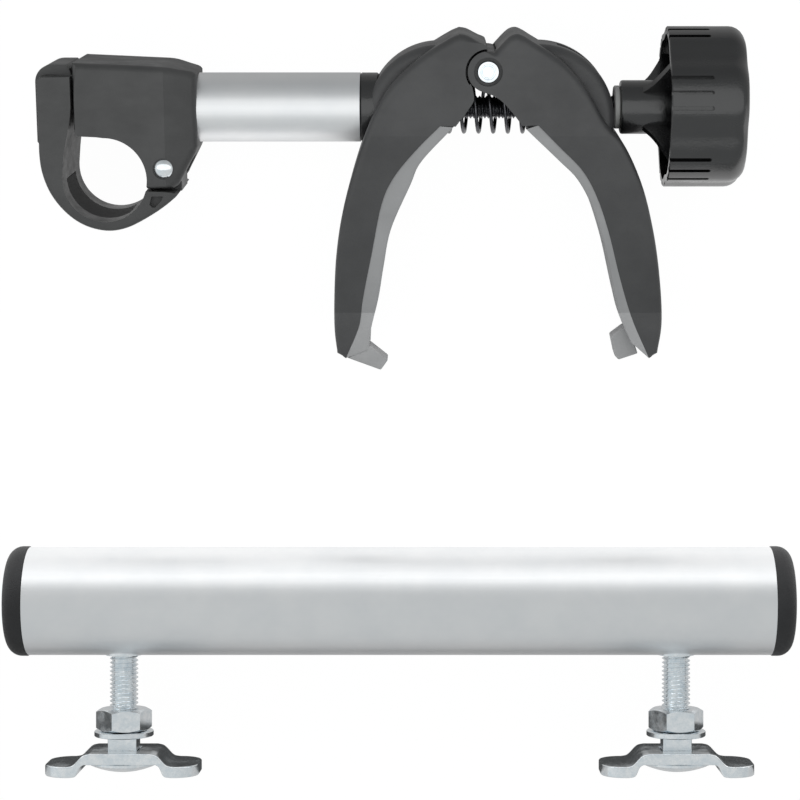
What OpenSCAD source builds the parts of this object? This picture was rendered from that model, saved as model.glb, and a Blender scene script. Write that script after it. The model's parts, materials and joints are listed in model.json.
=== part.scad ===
// Track-mounted bike holder: a short rack bar on two track feet and a loose clamp arm.
// Both pieces lie flat: X along the bar and the arm, Y across them, Z up from the surface.
// The arm is drawn in its own frame: origin on the tube axis above the middle of the ring.

/* [Bar] */
// Outer diameter of the bar
bar_d = 38; // [30:0.5:45]
// Wall of the bar
bar_wall = 1.6; // [1.2:0.1:2.5]
// Length of the bar between its end caps
bar_len = 261.4; // [240:0.2:320]
// Length that each end cap stands out
cap_len = 7.8; // [6:0.1:14]
// Radius of the end cap's outer edge
cap_round = 5; // [2:0.5:6]
// Length of the end cap's plug inside the bar
cap_plug_len = 16; // [8:1:30]
// Distance from the bar's end to the axis of its foot
foot_inset = 33.2; // [28:0.2:60]

/* [Feet] */
// Diameter of the foot bolt
bolt_d = 10; // [8:1:12]
// Length of the foot bolt under its head
bolt_len = 50; // [46:1:53]
// Diameter of the domed bolt head
bolt_head_d = 24.5; // [18:0.5:26]
// Height of the domed bolt head
bolt_head_h = 4; // [3:0.1:6]
// Height of the head's straight rim
head_rim = 1.2; // [0.6:0.1:2]
// Side of the square neck
neck_w = 10.2; // [8:0.1:12]
// Height of the square neck over the plate
neck_h = 4.6; // [3:0.1:7]
// Outer diameter of the threaded insert in the bar
insert_d = 13; // [12.6:0.1:15]
// Length of the threaded insert
insert_len = 12; // [8:0.5:14]
// Width of the nut across its flats
nut_w = 17; // [13:0.5:19]
// Height of the nut
nut_h = 7.7; // [5:0.1:9]
// Outer diameter of the washer
washer_d = 20.8; // [16:0.2:24]
// Thickness of the washer
washer_h = 2; // [1:0.1:3]
// Travel of nut and washer up the thread
nut_travel = 18; // [6:0.5:18]
// Length of the track plate
plate_len = 54; // [50:0.5:70]
// Corner radius of the track plate's wings
plate_round = 8; // [3:0.5:10]
// Width of the track plate
plate_w = 25; // [22:0.5:32]
// Thickness of the track plate
plate_t = 3.9; // [2.5:0.1:4.5]
// Length of the plate's raised middle
plate_mid = 24; // [20:0.5:30]
// Rise of the plate's middle over its wings
plate_rise = 4.5; // [3:0.1:6]
// Distance from the bar's axis to the top of the plate
plate_top = 52.2; // [52:0.2:60]

/* [Ring clamp] */
// Diameter of the ring's bore
ring_d = 29; // [27:0.5:30]
// Distance of the bore's centre under the arm tube's axis
ring_drop = 23; // [22.5:0.5:25]
// Width of the ring and its housing
ring_w = 39.2; // [34:0.2:42]
// Thickness of the hook's band at the bottom
band_t = 3.2; // [2.5:0.1:4]
// Height of the housing over the tube's axis
house_top = 17; // [16:0.1:18]
// Bevel along the housing's top edges
house_rim = 2.7; // [1:0.1:3]
// Diameter of the hook's hinge rivet
rivet_d = 5; // [4:0.5:5]
// Diameter of the rivet's domed head
rivet_head_d = 6.4; // [6:0.1:7]
// Width of the hook's knuckle in the housing's fork
knuckle_w = 18; // [12:0.5:24]
// Thickness of the latch lever
latch_t = 1.3; // [1:0.1:1.8]
// Width of the latch lever
latch_w = 28; // [16:1:30]
// Diameter of the latch pin
latch_pin_d = 3; // [2.5:0.1:3.2]

/* [Arm tube] */
// Outer diameter of the arm tube
tube_d = 24; // [22:0.5:25]
// Wall of the arm tube
tube_wall = 1.5; // [1:0.1:2]
// Distance from the ring's middle to the far end of the tube
tube_end = 87.5; // [80:0.5:120]
// Depth of the tube in the housing
tube_seat = 17; // [12:0.5:20]
// Width of the black swivel collar
collar_w = 6.6; // [4:0.1:8]
// Length of the collar's spigot in the tube
spigot_len = 14; // [10:0.5:16]

/* [Claws] */
// Width of the claws at the hinge
claw_w = 37; // [34:0.5:39]
// Width of the claws at the tips
tip_w = 17; // [12:0.5:24]
// Distance from the collar to the claw hinge
pin_ahead = 37.6; // [37:0.1:42]
// Height of the claw hinge over the rod
pin_rise = 13.9; // [13.4:0.1:15]
// Diameter of the claw hinge pin
pin_d = 5; // [4:0.1:5.4]
// Diameter of the pin's head
pin_head_d = 7.5; // [6:0.1:8]
// Radius of the knuckle round the pin
knuckle_r = 7; // [6:0.1:7.2]
// Radius of the rounded shoulder that the washer bears on
shoulder_r = 26.2; // [25:0.1:27.5]
// Width of the rounded shoulder
shoulder_w = 25; // [20:0.5:30]
// Rounding of the claws' outer edges
claw_rim = 1.8; // [0.5:0.1:2.5]
// Largest closing angle of the right claw in degrees
close_angle = 40; // [20:1:42]

/* [Rod spring and knob] */
// Diameter of the clamp rod
rod_d = 8; // [6:0.5:8.4]
// Wire diameter of the spring
wire_d = 1.3; // [0.8:0.1:1.5]
// Outer diameter of the spring
spring_d = 18.6; // [15:0.2:19]
// Turns of the spring
spring_turns = 7.5; // [5:0.5:8]
// Length of the spring between its seats
spring_len = 41; // [38:0.5:41]
// Outer diameter of the thrust washer
thrust_d = 15; // [13:0.5:17]
// Thickness of the thrust washer
thrust_t = 2.1; // [1.5:0.1:3.5]
// Knob travel for each radian that the claw closes
travel_per_rad = 20.2; // [15:0.1:20.5]
// Diameter of the knob's hub
hub_d = 18.7; // [16:0.1:22]
// Length of the knob's hub
hub_len = 15.6; // [12:0.1:20]
// Diameter of the knob over its lobes
knob_d = 56.6; // [50:0.2:60]
// Length of the knob's grip
knob_len = 28.3; // [22:0.1:32]
// Number of lobes on the knob
lobes = 6; // [3:1:8]
// Depth of the valleys between the lobes
valley = 1.6; // [0.5:0.1:3]
// Wall of the knob's shell
knob_wall = 2.6; // [2:0.1:4]
// Stiffening webs behind the knob
webs = 4; // [3:1:6]

/* [Fits] */
// Running clearance on a shaft, radial
run_gap = 0.08; // [0.04:0.01:0.1]
// Gap between seated pieces
seat_gap = 0.3; // [0.2:0.05:0.4]
// Distance between the axes of the bar and the arm
pieces_gap = 173.4; // [165:0.2:200]

/* [Hidden] */
$fn = 64;
bar_r = bar_d / 2;
bar_in = bar_r - bar_wall;
foot_x = bar_len / 2 - foot_inset;
cap_dome = 0.5;
bolt_r = bolt_d / 2;
plate_under = plate_top + plate_t;
wing_bottom = plate_under + plate_rise;
foot_reach = max(wing_bottom, plate_under + bolt_head_h);
washer_top = plate_top - neck_h - washer_h;
nut_top = washer_top - nut_h;
ring_r = ring_d / 2;
ring_half = ring_w / 2;
band_r = ring_r + band_t;
tube_r = tube_d / 2;
tube_in = tube_r - tube_wall;
rivet_x = ring_r + 5.8;
rivet_y = 3.9 - ring_drop;
knuckle_small = 5.1;
fork_gap = 0.35;
house_left = -10;
house_bottom = -26.1;
house_end = 31.4;
end_half = tube_r + 1;
taper_x = 21;
top_slope = 1.4;
house_heel = [[-10, -4.5], [-7, -8], [0, -8.2]];
house_toe = [[23.5, -26.1], [25.2, -24.9], [26.5, -22.2]];
tube_start = house_end - 0.4 - tube_seat;
hook_back_r = 19.1;
hook_low_r = 20;
hook_seam = -26.9;
hook_toe = [[17.5, -34], [23, -30.2], [25.9, -27.4], [25.9, hook_seam]];
block_left = -22.2;
block_top = 12.3;
latch_top = 16;
latch_boss = 2.6;
latch_bend = 6;
latch_pin_len = latch_w + 8;
liner_t = 1.6;
block_in = -10.8;
latch_round = 4.4;
latch_x = block_left + latch_round;
latch_y = 7.8;
channel_floor = 8.6;
collar_end = tube_end + collar_w;
pin_x = collar_end + pin_ahead;
spigot_r = 9;
claw_half = claw_w / 2;
tip_half = tip_w / 2;
tip_drop = 88;
shoulder_x = pin_x + 17.6;
shoulder_y = -3.5;
left_shoulder_x = pin_x - 16.7;
left_shoulder_y = -2.5;
left_shoulder_r = 25;
seat_left = pin_x - 18.7;
spring_r = spring_d / 2;
wire_r = wire_d / 2;
cavity_r = spring_r + 1;
knuckle_clear = 0.8;
inner_half = 11.2;
rod_r = rod_d / 2;
rod_head_w = 13;
rod_head_h = 5;
plug_len = 12;
plug_end = tube_end - spigot_len - 0.3;
plug_start = plug_end - plug_len;
thrust_x = shoulder_x + shoulder_r + seat_gap;
hub_x = thrust_x + thrust_t + 0.1;
grip_x = hub_x + hub_len;
knob_end = grip_x + knob_len;
knob_r = knob_d / 2;
knob_round = 5.9;
lobe_turn = 16;
groove_turn = 10.7;
groove_len = 14.3;
groove_w = 1.4;
insert_r = 6;
insert_reach = 14;
knob_travel = travel_per_rad * close_angle * PI / 180;
cap_roof = knob_wall + 2.8;
rod_end = knob_end - cap_roof - knob_travel - 1;
arm_roll = asin(knob_r / norm([tip_drop, tip_half])) - atan2(tip_half, tip_drop);
claw_peak = pin_rise + 11.4 + claw_rim;
arm_reach = max(knob_r, claw_peak * cos(arm_roll) + claw_half * sin(arm_roll));
bar_y = (foot_reach - pieces_gap - arm_reach) / 2;
arm_y = bar_y + pieces_gap;
arm_x = -101.1;
cap_r = bar_r + 0.3;
ring_gap = knob_r + (-ring_drop - band_r) * sin(arm_roll) - ring_half * cos(arm_roll);
echo(arm_roll = arm_roll, bar_y = bar_y, arm_y = arm_y, pin_x = pin_x, ring_gap = ring_gap);
echo(knob_travel = knob_travel, thrust_x = thrust_x, knob_end = knob_end, rod_end = rod_end);

// Points on an arc about a centre, both end angles included
function arc(cx, cy, r, a0, a1, n) =
    [for (i = [0:n]) let (a = a0 + (a1 - a0) * i / n) [cx + r * cos(a), cy + r * sin(a)]];

// Places what is drawn in the bar's frame
module on_bar() {
    translate([0, bar_y, cap_r]) children();
}

// Places what is drawn in the arm's frame: the arm leans on knob, claw tip and ring
module on_arm() {
    translate([arm_x, arm_y, knob_r]) rotate([arm_roll, 0, 0]) children();
}

// A cylinder along X from x0 to x1
module rod_x(x0, x1, r) {
    translate([x0, 0, 0]) rotate([0, 90, 0]) cylinder(h = x1 - x0, r = r);
}

// A slab of an outline, as thick as w, about the middle plane
module slab(w) {
    linear_extrude(height = w, center = true) children();
}

// Cylinder down the foot's axis between two distances from the bar's axis
module down(y0, y1, r) {
    translate([0, -y0, 0]) rotate([90, 0, 0]) cylinder(h = y1 - y0, r = r);
}

// The bar and what stays in it
module bar_tube() {
    color("silver") on_bar() difference() {
        rod_x(-bar_len / 2, bar_len / 2, bar_r);
        rod_x(-bar_len / 2 - 1, bar_len / 2 + 1, bar_in);
        for (side = [-1, 1]) translate([side * foot_x, 0, 0]) down(0, bar_d, insert_d / 2);
    }
}

module end_cap() {
    rotate([0, 90, 0]) rotate_extrude($fn = 96) polygon(concat(
        [[0, -cap_plug_len], [bar_in - 3, -cap_plug_len], [bar_in - 0.6, -cap_plug_len + 4],
         [bar_in - 0.05, 0], [cap_r, 0]],
        arc(cap_r - cap_round, cap_len - cap_dome - cap_round, cap_round, 0, 78, 8),
        [[0, cap_len]]));
}

module left_end_cap() {
    color([0.09, 0.09, 0.1]) on_bar() translate([-bar_len / 2, 0, 0]) mirror([1, 0, 0]) end_cap();
}

module right_end_cap() {
    color([0.09, 0.09, 0.1]) on_bar() translate([bar_len / 2, 0, 0]) end_cap();
}

module tube_insert() {
    difference() {
        union() {
            down(bar_r - insert_len, bar_r, insert_d / 2);
            down(bar_in - 1.4, bar_in - 0.05, insert_d / 2 + 1);
        }
        down(0, bar_d, bolt_r + run_gap);
    }
}

module left_tube_insert() {
    color([0.7, 0.7, 0.72]) on_bar() translate([-foot_x, 0, 0]) tube_insert();
}

module right_tube_insert() {
    color([0.7, 0.7, 0.72]) on_bar() translate([foot_x, 0, 0]) tube_insert();
}

// The feet: carriage bolt, plate, washer and nut
module foot_bolt() {
    down(plate_under - bolt_len, plate_top - neck_h + 0.1, bolt_r);
    translate([0, -(plate_top - neck_h + plate_under) / 2, 0])
        cube([neck_w, plate_under - plate_top + neck_h, neck_w], center = true);
    dome = bolt_head_h - head_rim;
    dome_r = (pow(bolt_head_d / 2, 2) + pow(dome, 2)) / (2 * dome);
    translate([0, -plate_under, 0]) rotate([90, 0, 0]) rotate_extrude($fn = 72) polygon(concat(
        [[0, 0], [bolt_head_d / 2, 0]],
        arc(0, bolt_head_h - dome_r, dome_r, acos(bolt_head_d / 2 / dome_r), 90, 8)));
}

module left_foot_bolt() {
    color([0.72, 0.74, 0.78]) on_bar() translate([-foot_x, 0, 0]) foot_bolt();
}

module right_foot_bolt() {
    color([0.72, 0.74, 0.78]) on_bar() translate([foot_x, 0, 0]) foot_bolt();
}

module track_plate() {
    mid = plate_mid / 2;
    step = plate_rise + 0.5;
    belly = bolt_head_d / 2 + 0.25;
    end = plate_len / 2;
    half = plate_w / 2;
    difference() {
        intersection() {
            slab(plate_w) polygon([
                [-end, -wing_bottom], [-mid - step + 1, -wing_bottom], [-belly, -plate_under],
                [belly, -plate_under], [mid + step - 1, -wing_bottom], [end, -wing_bottom],
                [end, -wing_bottom + plate_t], [mid + step, -wing_bottom + plate_t],
                [mid, -plate_top], [-mid, -plate_top], [-mid - step, -wing_bottom + plate_t],
                [-end, -wing_bottom + plate_t]]);
            rotate([90, 0, 0]) linear_extrude(height = 2 * wing_bottom) polygon(concat(
                arc(end - plate_round, half - plate_round, plate_round, 0, 90, 6),
                arc(plate_round - end, half - plate_round, plate_round, 90, 180, 6),
                arc(plate_round - end, plate_round - half, plate_round, 180, 270, 6),
                arc(end - plate_round, plate_round - half, plate_round, 270, 360, 6)));
        }
        hole = neck_w + 0.4;
        translate([0, -plate_top - plate_t / 2, 0]) cube([hole, plate_t + 1, hole], center = true);
    }
}

module left_track_plate() {
    color([0.66, 0.68, 0.72]) on_bar() translate([-foot_x, 0, 0]) track_plate();
}

module right_track_plate() {
    color([0.66, 0.68, 0.72]) on_bar() translate([foot_x, 0, 0]) track_plate();
}

module foot_washer() {
    difference() {
        down(washer_top + 0.05, washer_top + washer_h - 0.05, washer_d / 2);
        down(0, plate_top, bolt_r + run_gap);
    }
}

module left_foot_washer() {
    color([0.72, 0.74, 0.78]) on_bar() translate([-foot_x, 0, 0]) foot_washer();
}

module right_foot_washer() {
    color([0.72, 0.74, 0.78]) on_bar() translate([foot_x, 0, 0]) foot_washer();
}

module foot_nut(turn) {
    corner_r = nut_w / 2 / cos(30);
    difference() {
        translate([0, -nut_top, 0]) rotate([90, 0, 0]) rotate([0, 0, -turn])
            cylinder(h = nut_h - 0.05, r = corner_r, $fn = 6);
        down(0, plate_top, bolt_r + run_gap);
    }
}

module left_foot_nut() {
    color([0.75, 0.77, 0.8]) on_bar() translate([-foot_x, 0, 0]) foot_nut(12);
}

module right_foot_nut() {
    color([0.75, 0.77, 0.8]) on_bar() translate([foot_x, 0, 0]) foot_nut(5);
}

// Housing of the ring clamp
module housing_outline() {
    difference() {
        polygon([
            [house_left, house_top], house_heel[0], house_heel[1], house_heel[2],
            [ring_r, -ring_drop], [ring_r + 0.1, house_bottom], house_toe[0],
            house_toe[1], house_toe[2], [house_end, -end_half], [house_end, end_half],
            [taper_x, house_top - top_slope]]);
        translate([0, -ring_drop]) circle(r = ring_r, $fn = 96);
    }
}

module fork_cut() {
    translate([rivet_x, rivet_y]) {
        circle(r = knuckle_small + fork_gap);
        polygon([[2.8, 5.4], [12.5, 0.4], [ring_w, 0.4], [ring_w, -12], [-5.5, -12], [-5.5, 0]]);
    }
}

module clamp_housing() {
    color([0.27, 0.27, 0.28]) on_arm() difference() {
        intersection() {
            slab(ring_w) housing_outline();
            rotate([90, 0, 0]) linear_extrude(height = 3 * ring_w, center = true) polygon([
                [-ring_w, -ring_half], [taper_x, -ring_half], [house_end, -end_half],
                [house_end, end_half], [taper_x, ring_half], [-ring_w, ring_half]]);
            rotate([90, 0, 90]) linear_extrude(height = 3 * ring_w, center = true) polygon([
                [-2 * ring_w, -ring_half], [house_top - house_rim, -ring_half],
                [house_top, house_rim - ring_half], [house_top, ring_half - house_rim],
                [house_top - house_rim, ring_half], [-2 * ring_w, ring_half]]);
        }
        rod_x(tube_start, house_end + 1, tube_r);
        slab(knuckle_w + 2 * fork_gap) fork_cut();
        translate([rivet_x, rivet_y, 0])
            cylinder(h = ring_w + 2, r = rivet_d / 2, center = true);
        latch_recess();
    }
}

// Pocket in the housing's corner for the latch's nose, behind a hanging lip
module latch_recess() {
    slab(latch_w + 1) polygon([
        [house_left - 1, channel_floor - 0.6], [house_left + 4.6, channel_floor - 0.6],
        [house_left + 4.6, 13.7], [house_left + 1.6, 13.7], [house_left + 1.3, 12.7],
        [house_left - 1, 12.7]]);
}

module hook_hinge_rivet() {
    color([0.85, 0.85, 0.87]) on_arm() translate([rivet_x, rivet_y, 0]) {
        cylinder(h = ring_w, r = rivet_d / 2, center = true);
        for (flip = [0, 1]) mirror([0, 0, flip]) translate([0, 0, ring_half])
            rotate_extrude($fn = 48) polygon(concat([[0, 0], [rivet_head_d / 2, 0]],
                arc(0, -2, norm([rivet_head_d / 2, 2]), atan2(2, rivet_head_d / 2), 90, 6)));
    }
}

module arm_tube() {
    color("gainsboro") on_arm() difference() {
        rod_x(tube_start, tube_end, tube_r);
        rod_x(tube_start - 1, tube_end + 1, tube_in);
    }
}

// Plug fixed in the tube: the rod's head pulls against it
module tube_plug() {
    color([0.2, 0.2, 0.21]) on_arm() difference() {
        rod_x(plug_start, plug_end, tube_in);
        rod_x(plug_start - 1, plug_end + 1, rod_r + run_gap);
    }
}

// Hook: the C-shaped lower half of the ring with its latch block
module hook_outline() {
    difference() {
        polygon(concat(
            [[block_left + 1.5, block_top], [block_left, block_top - 1.5], [block_left, -12]],
            arc(-3.6, -ring_drop + 1.6, hook_back_r, 186, 262, 9),
            arc(0, -ring_drop + 2.3, hook_low_r, 272, 304, 5),
            hook_toe,
            [[ring_r, hook_seam], [ring_r - 0.2, -ring_drop - 3], [0, -ring_drop],
             [-ring_r, -ring_drop],
             [block_in - 2, -9.2], [block_in, 0], [block_in, block_top]]));
        translate([0, -ring_drop]) circle(r = ring_r, $fn = 96);
    }
}

module clamp_hook() {
    color([0.27, 0.27, 0.28]) on_arm() difference() {
        union() {
            slab(ring_w) hook_outline();
            slab(knuckle_w) translate([rivet_x, rivet_y]) {
                circle(r = knuckle_small);
                polygon([[-knuckle_small, 0], [-4.9, -8.6], [knuckle_small, -9], [knuckle_small, 0]]);
            }
        }
        translate([rivet_x, rivet_y, 0])
            cylinder(h = ring_w + 2, r = rivet_d / 2 + run_gap, center = true);
        translate([0, 0, ring_half - 2]) linear_extrude(height = 4)
            polygon([[16, -28.6], [20, -28.6], [17.2, -32.6], [15.2, -31.4]]);
        latch_channel();
        translate([latch_x, latch_y, 0])
            cylinder(h = latch_pin_len, r = latch_pin_d / 2, center = true);
        liner_ring(0.02);
    }
}

// Room in the hook for the latch lever: across the block's top and round its corner
module latch_channel() {
    slab(latch_w + 0.8) {
        polygon([[block_left - 1, channel_floor], [-5, channel_floor], [-5, 20],
                 [block_left - 1, 20]]);
        difference() {
            polygon([[block_left - 1, latch_y - 14], [latch_x, latch_y - 14], [latch_x, 20],
                     [block_left - 1, 20]]);
            polygon([[block_left + 0.1, latch_y - 15], [latch_x + 1, latch_y - 15],
                     [latch_x + 1, channel_floor], [latch_x, channel_floor],
                     [block_left + 0.1, latch_y - 3.5]]);
        }
        translate([latch_x, latch_y]) circle(r = latch_boss + 0.3);
    }
}

// Shallow groove and rubber liner in the hook's inner wall
module liner_ring(extra) {
    slab(20 + 2 * extra) intersection() {
        translate([0, -ring_drop]) difference() {
            circle(r = ring_r + liner_t + extra, $fn = 96);
            circle(r = ring_r - (extra > 0 ? 1 : 0), $fn = 96);
        }
        translate([0, -ring_drop]) polygon([[0, 0], [-24, -2], [-24, -24], [14, -24]]);
    }
}

module hook_liner() {
    color([0.2, 0.2, 0.2]) on_arm() liner_ring(0);
}

module latch_pin() {
    color([0.75, 0.75, 0.77]) on_arm() translate([latch_x, latch_y, 0])
        cylinder(h = latch_pin_len, r = latch_pin_d / 2, center = true);
}

module latch_lever() {
    out = block_left - latch_t;
    color([0.25, 0.25, 0.26]) on_arm() difference() {
        slab(latch_w) {
            polygon(concat(
                [[out, -10.6], [out + 1.1, -11.2], [block_left - 0.1, -10.6],
                 [block_left - 0.1, latch_y], [block_left + 1, latch_y + 4],
                 [latch_x, latch_y + 4.6], [-10.6, 10.5], [-6.6, 10.5], [-6.6, 13.2],
                 [-7.2, 13.2], [-8.2, 12.4], [-11, 12.4], [-12.4, latch_top]],
                arc(out + latch_bend, latch_top - latch_bend, latch_bend, 90, 180, 6)));
            translate([latch_x, latch_y]) circle(r = latch_boss);
            polygon([[latch_x - 1.6, latch_y + 1.9], [latch_x + 1.6, latch_y + 1.9],
                     [latch_x + 1.6, 13.2], [latch_x - 1.6, 13.2]]);
        }
        translate([latch_x, latch_y, 0])
            cylinder(h = latch_w + 2, r = latch_pin_d / 2 + run_gap, center = true);
    }
}

// Claws
module depth_taper(w_top, w_tip) {
    rotate([90, 0, 90]) linear_extrude(height = 600, center = true) polygon([
        [40, -w_top / 2], [-8, -w_top / 2], [-tip_drop, -w_tip / 2], [-100, -w_tip / 2],
        [-100, w_tip / 2], [-tip_drop, w_tip / 2], [-8, w_top / 2], [40, w_top / 2]]);
}

// Outline of a claw whose points up to the last are moved out by the rounding of its edge,
// but for those that stay: the first one and those beside the washer's seat
function outward(points, last, stay, side) = [for (i = [0:len(points) - 1])
    let (way = points[min(i + 1, len(points) - 1)] - points[max(i - 1, 0)])
    i > last || len(search(i, stay)) > 0 ? points[i]
        : points[i] + claw_rim * side * [way[1], -way[0]] / norm(way)];

// Outline points of a claw's front face are given from the hinge pin, from the knuckle outward
left_claw_points = [
    [0.4, knuckle_r + 1.4], [-8.8, 11.4], [-23.2, 2.6], [-31.6, -5.4], [-37.3, -14.4],
    [-43.9, -32], [-48.5, -49], [-50.9, -64.1], [-51.9, -80.9], [-51.9, -92],
    [-51.1, -99.8], [-49.8, -tip_drop - 13.9], [-44.9, -89.6], [-43.7, -80.9],
    [-40.4, -64.1], [-36.1, -43.9], [-32.1, -35.9], [-23.8, -25.8], [-16.5, -18.5],
    [-11.1, -18.6], [-4.8, -9.8], [-5.5, -5.2]];
left_pad_points = [
    [-16.5, -18.5], [-23.8, -25.8], [-32.1, -35.9], [-36.1, -43.9], [-40.4, -64.1],
    [-43.7, -80.9], [-44.9, -89.6], [-49.8, -tip_drop - 13.9], [-49.3, -102.3], [-37.5, -106.3],
    [-34.9, -102.6], [-41.5, -98.6], [-41.1, -92.8], [-38.1, -79.8], [-36.2, -68.3],
    [-33.7, -55.5], [-26.3, -38.3], [-23.8, -32.3], [-11.8, -18.9]];
right_claw_points = [
    [-0.2, knuckle_r], [9.2, 11.4], [24.6, 1.7], [32.4, -7.4], [40.7, -17.9],
    [46.4, -24.4], [51.5, -39.2], [56, -55.6], [58.8, -72.7], [60, -89.6],
    [58.8, -99.8], [57.6, -tip_drop - 13.9], [51.1, -87.1], [46.6, -72.7], [42.1, -55.6],
    [37.8, -43.3], [32.8, -34.2], [24.7, -25.8], [17.2, -18.2],
    [11.8, -18.4], [4.6, -9.7]];
right_pad_points = [
    [17.2, -18.2], [24.7, -25.8], [32.8, -34.2], [37.8, -43.3], [42.1, -55.6],
    [46.6, -72.7], [51.1, -87.1], [57.6, -tip_drop - 13.9], [54.2, -102.4], [51, -96],
    [47.3, -87.8], [45, -79.1], [40.5, -59.8], [35.4, -45], [30.5, -36.6],
    [25.6, -31.7], [13, -19.6]];

// The claw's own front outline, with a hinge knuckle
module left_claw_outline() {
    difference() {
        translate([pin_x, pin_rise]) polygon(outward(left_claw_points, 10, [0], 1));
        translate([pin_x, pin_rise]) circle(r = knuckle_r + knuckle_clear);
    }
}

module left_claw() {
    color([0.24, 0.24, 0.25]) on_arm() difference() {
        union() {
            intersection() {
                slab(claw_w) left_claw_outline();
                depth_taper(claw_w, tip_w);
            }
            slab(shoulder_w) intersection() {
                translate([left_shoulder_x, left_shoulder_y])
                    circle(r = left_shoulder_r, $fn = 96);
                translate([pin_x, pin_rise]) polygon([
                    [-45.6, 10], [-9, 10], [-9, -10], [-16.5, -18.5],
                    [-23.8, -25.8], [-25.5, -27.9], [-45.6, -27.9]]);
            }
            slab(2 * inner_half) {
                translate([pin_x, pin_rise]) circle(r = knuckle_r);
                translate([pin_x - 14, pin_rise - 2]) square([14, 8.5]);
            }
        }
        rod_x(tube_end - 20, collar_end, tube_r + seat_gap);
        rod_x(0, collar_end + 9.8, spigot_r + run_gap);
        rod_x(0, seat_left + 2, rod_r + run_gap);
        rod_x(seat_left, pin_x + 30, cavity_r);
        translate([pin_x, pin_rise, 0]) cylinder(h = 60, r = pin_d / 2, center = true);
    }
}

module pad(points, w_top) {
    intersection() {
        slab(w_top) translate([pin_x, pin_rise]) polygon(points);
        depth_taper(w_top, tip_w - 0.4);
    }
}

module left_claw_pad() {
    color([0.62, 0.62, 0.63]) on_arm() difference() {
        pad(left_pad_points, claw_w - 0.6);
        translate([pin_x - 60, pin_rise - 110, -30]) cube([60, 14, 29]);
        rod_x(seat_left, pin_x + 30, cavity_r);
    }
}

module claw_hinge_pin() {
    color([0.85, 0.85, 0.87]) on_arm() translate([pin_x, pin_rise, 0]) {
        cylinder(h = claw_w - 2, r = pin_d / 2, center = true);
        for (flip = [0, 1]) mirror([0, 0, flip]) translate([0, 0, claw_half - 1.4])
            cylinder(h = 1.9, r = pin_head_d / 2);
    }
}

module tube_collar() {
    color([0.1, 0.1, 0.11]) on_arm() difference() {
        union() {
            rod_x(tube_end + 0.15, collar_end, tube_r);
            rod_x(tube_end - spigot_len, tube_end + 1, tube_in - run_gap);
            rod_x(collar_end - 1, collar_end + 9.5, spigot_r);
        }
        rod_x(tube_end - 20, collar_end + 20, rod_r + run_gap);
    }
}

module clamp_rod() {
    color([0.7, 0.7, 0.72]) on_arm() {
        rod_x(plug_start - 1, rod_end, rod_r);
        translate([plug_start - 0.1 - rod_head_h, 0, 0]) rotate([0, 90, 0])
            cylinder(h = rod_head_h, r = rod_head_w / 2 / cos(30), $fn = 6);
    }
}

// Spring: one tube along a helix whose ends run straight on
coil_r = spring_r - wire_r;
coil_pitch = (spring_len - 2 * wire_d) / spring_turns;
steps = 8;
sides = 6;
function coil_turn(t) = 360 * t - 120;
function coil_at(t) = let (a = coil_turn(t))
    [seat_left + wire_d + coil_pitch * t, coil_r * cos(a), coil_r * sin(a)];
function coil_way(t) = let (
    a = coil_turn(t),
    v = [coil_pitch, -coil_r * 2 * PI * sin(a), coil_r * 2 * PI * cos(a)])
    v / norm(v);
function coil_in(t) = [0, -cos(coil_turn(t)), -sin(coil_turn(t))];
coil_points = [
    for (i = [-1:spring_turns * steps + 1]) let (
        t = min(max(i, 0), spring_turns * steps) / steps,
        over = i < 0 ? -1 : i > spring_turns * steps ? 1 : 0,
        d = coil_way(t), n = coil_in(t), b = cross(d, n), c = coil_at(t) + over * wire_d * d)
        for (s = [0:sides - 1]) c + wire_r * (cos(360 * s / sides) * n + sin(360 * s / sides) * b)];
rings = spring_turns * steps + 3;
coil_faces = concat(
    [for (i = [0:rings - 2]) for (s = [0:sides - 1]) let (
        a = i * sides + s, b = i * sides + (s + 1) % sides) [a, b, b + sides]],
    [for (i = [0:rings - 2]) for (s = [0:sides - 1]) let (
        a = i * sides + s, b = i * sides + (s + 1) % sides) [a, b + sides, a + sides]],
    [for (s = [1:sides - 2]) [0, s + 1, s]],
    [for (s = [1:sides - 2]) let (e = (rings - 1) * sides) [e, e + s, e + s + 1]]);
coil_gap = min([for (i = [0:steps]) for (j = [-2:2])
    norm(coil_at(i / steps) - coil_at(1 + (i + j) / steps))]) - wire_d;
echo(least_gap_between_coils = coil_gap);

module claw_spring() {
    color([0.35, 0.35, 0.37]) on_arm() polyhedron(points = coil_points, faces = coil_faces);
}

module right_claw_outline() {
    translate([pin_x, pin_rise]) {
        polygon(outward(right_claw_points, 10, [0, 4, 5], -1));
        circle(r = knuckle_r);
    }
}

// Room that the rod needs in the turning claw: its path from open to closed, seen from the claw
module rod_sweep(r) {
    low = pin_rise + r;
    high = pin_rise - r;
    far = 80;
    translate([pin_x, pin_rise]) polygon([
        [-30, -low], [far, -low], [far, -high],
        [high * sin(close_angle) + far * cos(close_angle),
         -high * cos(close_angle) + far * sin(close_angle)],
        [high * sin(close_angle), -high * cos(close_angle)],
        [0, -high], [-30, -high]]);
}

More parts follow.
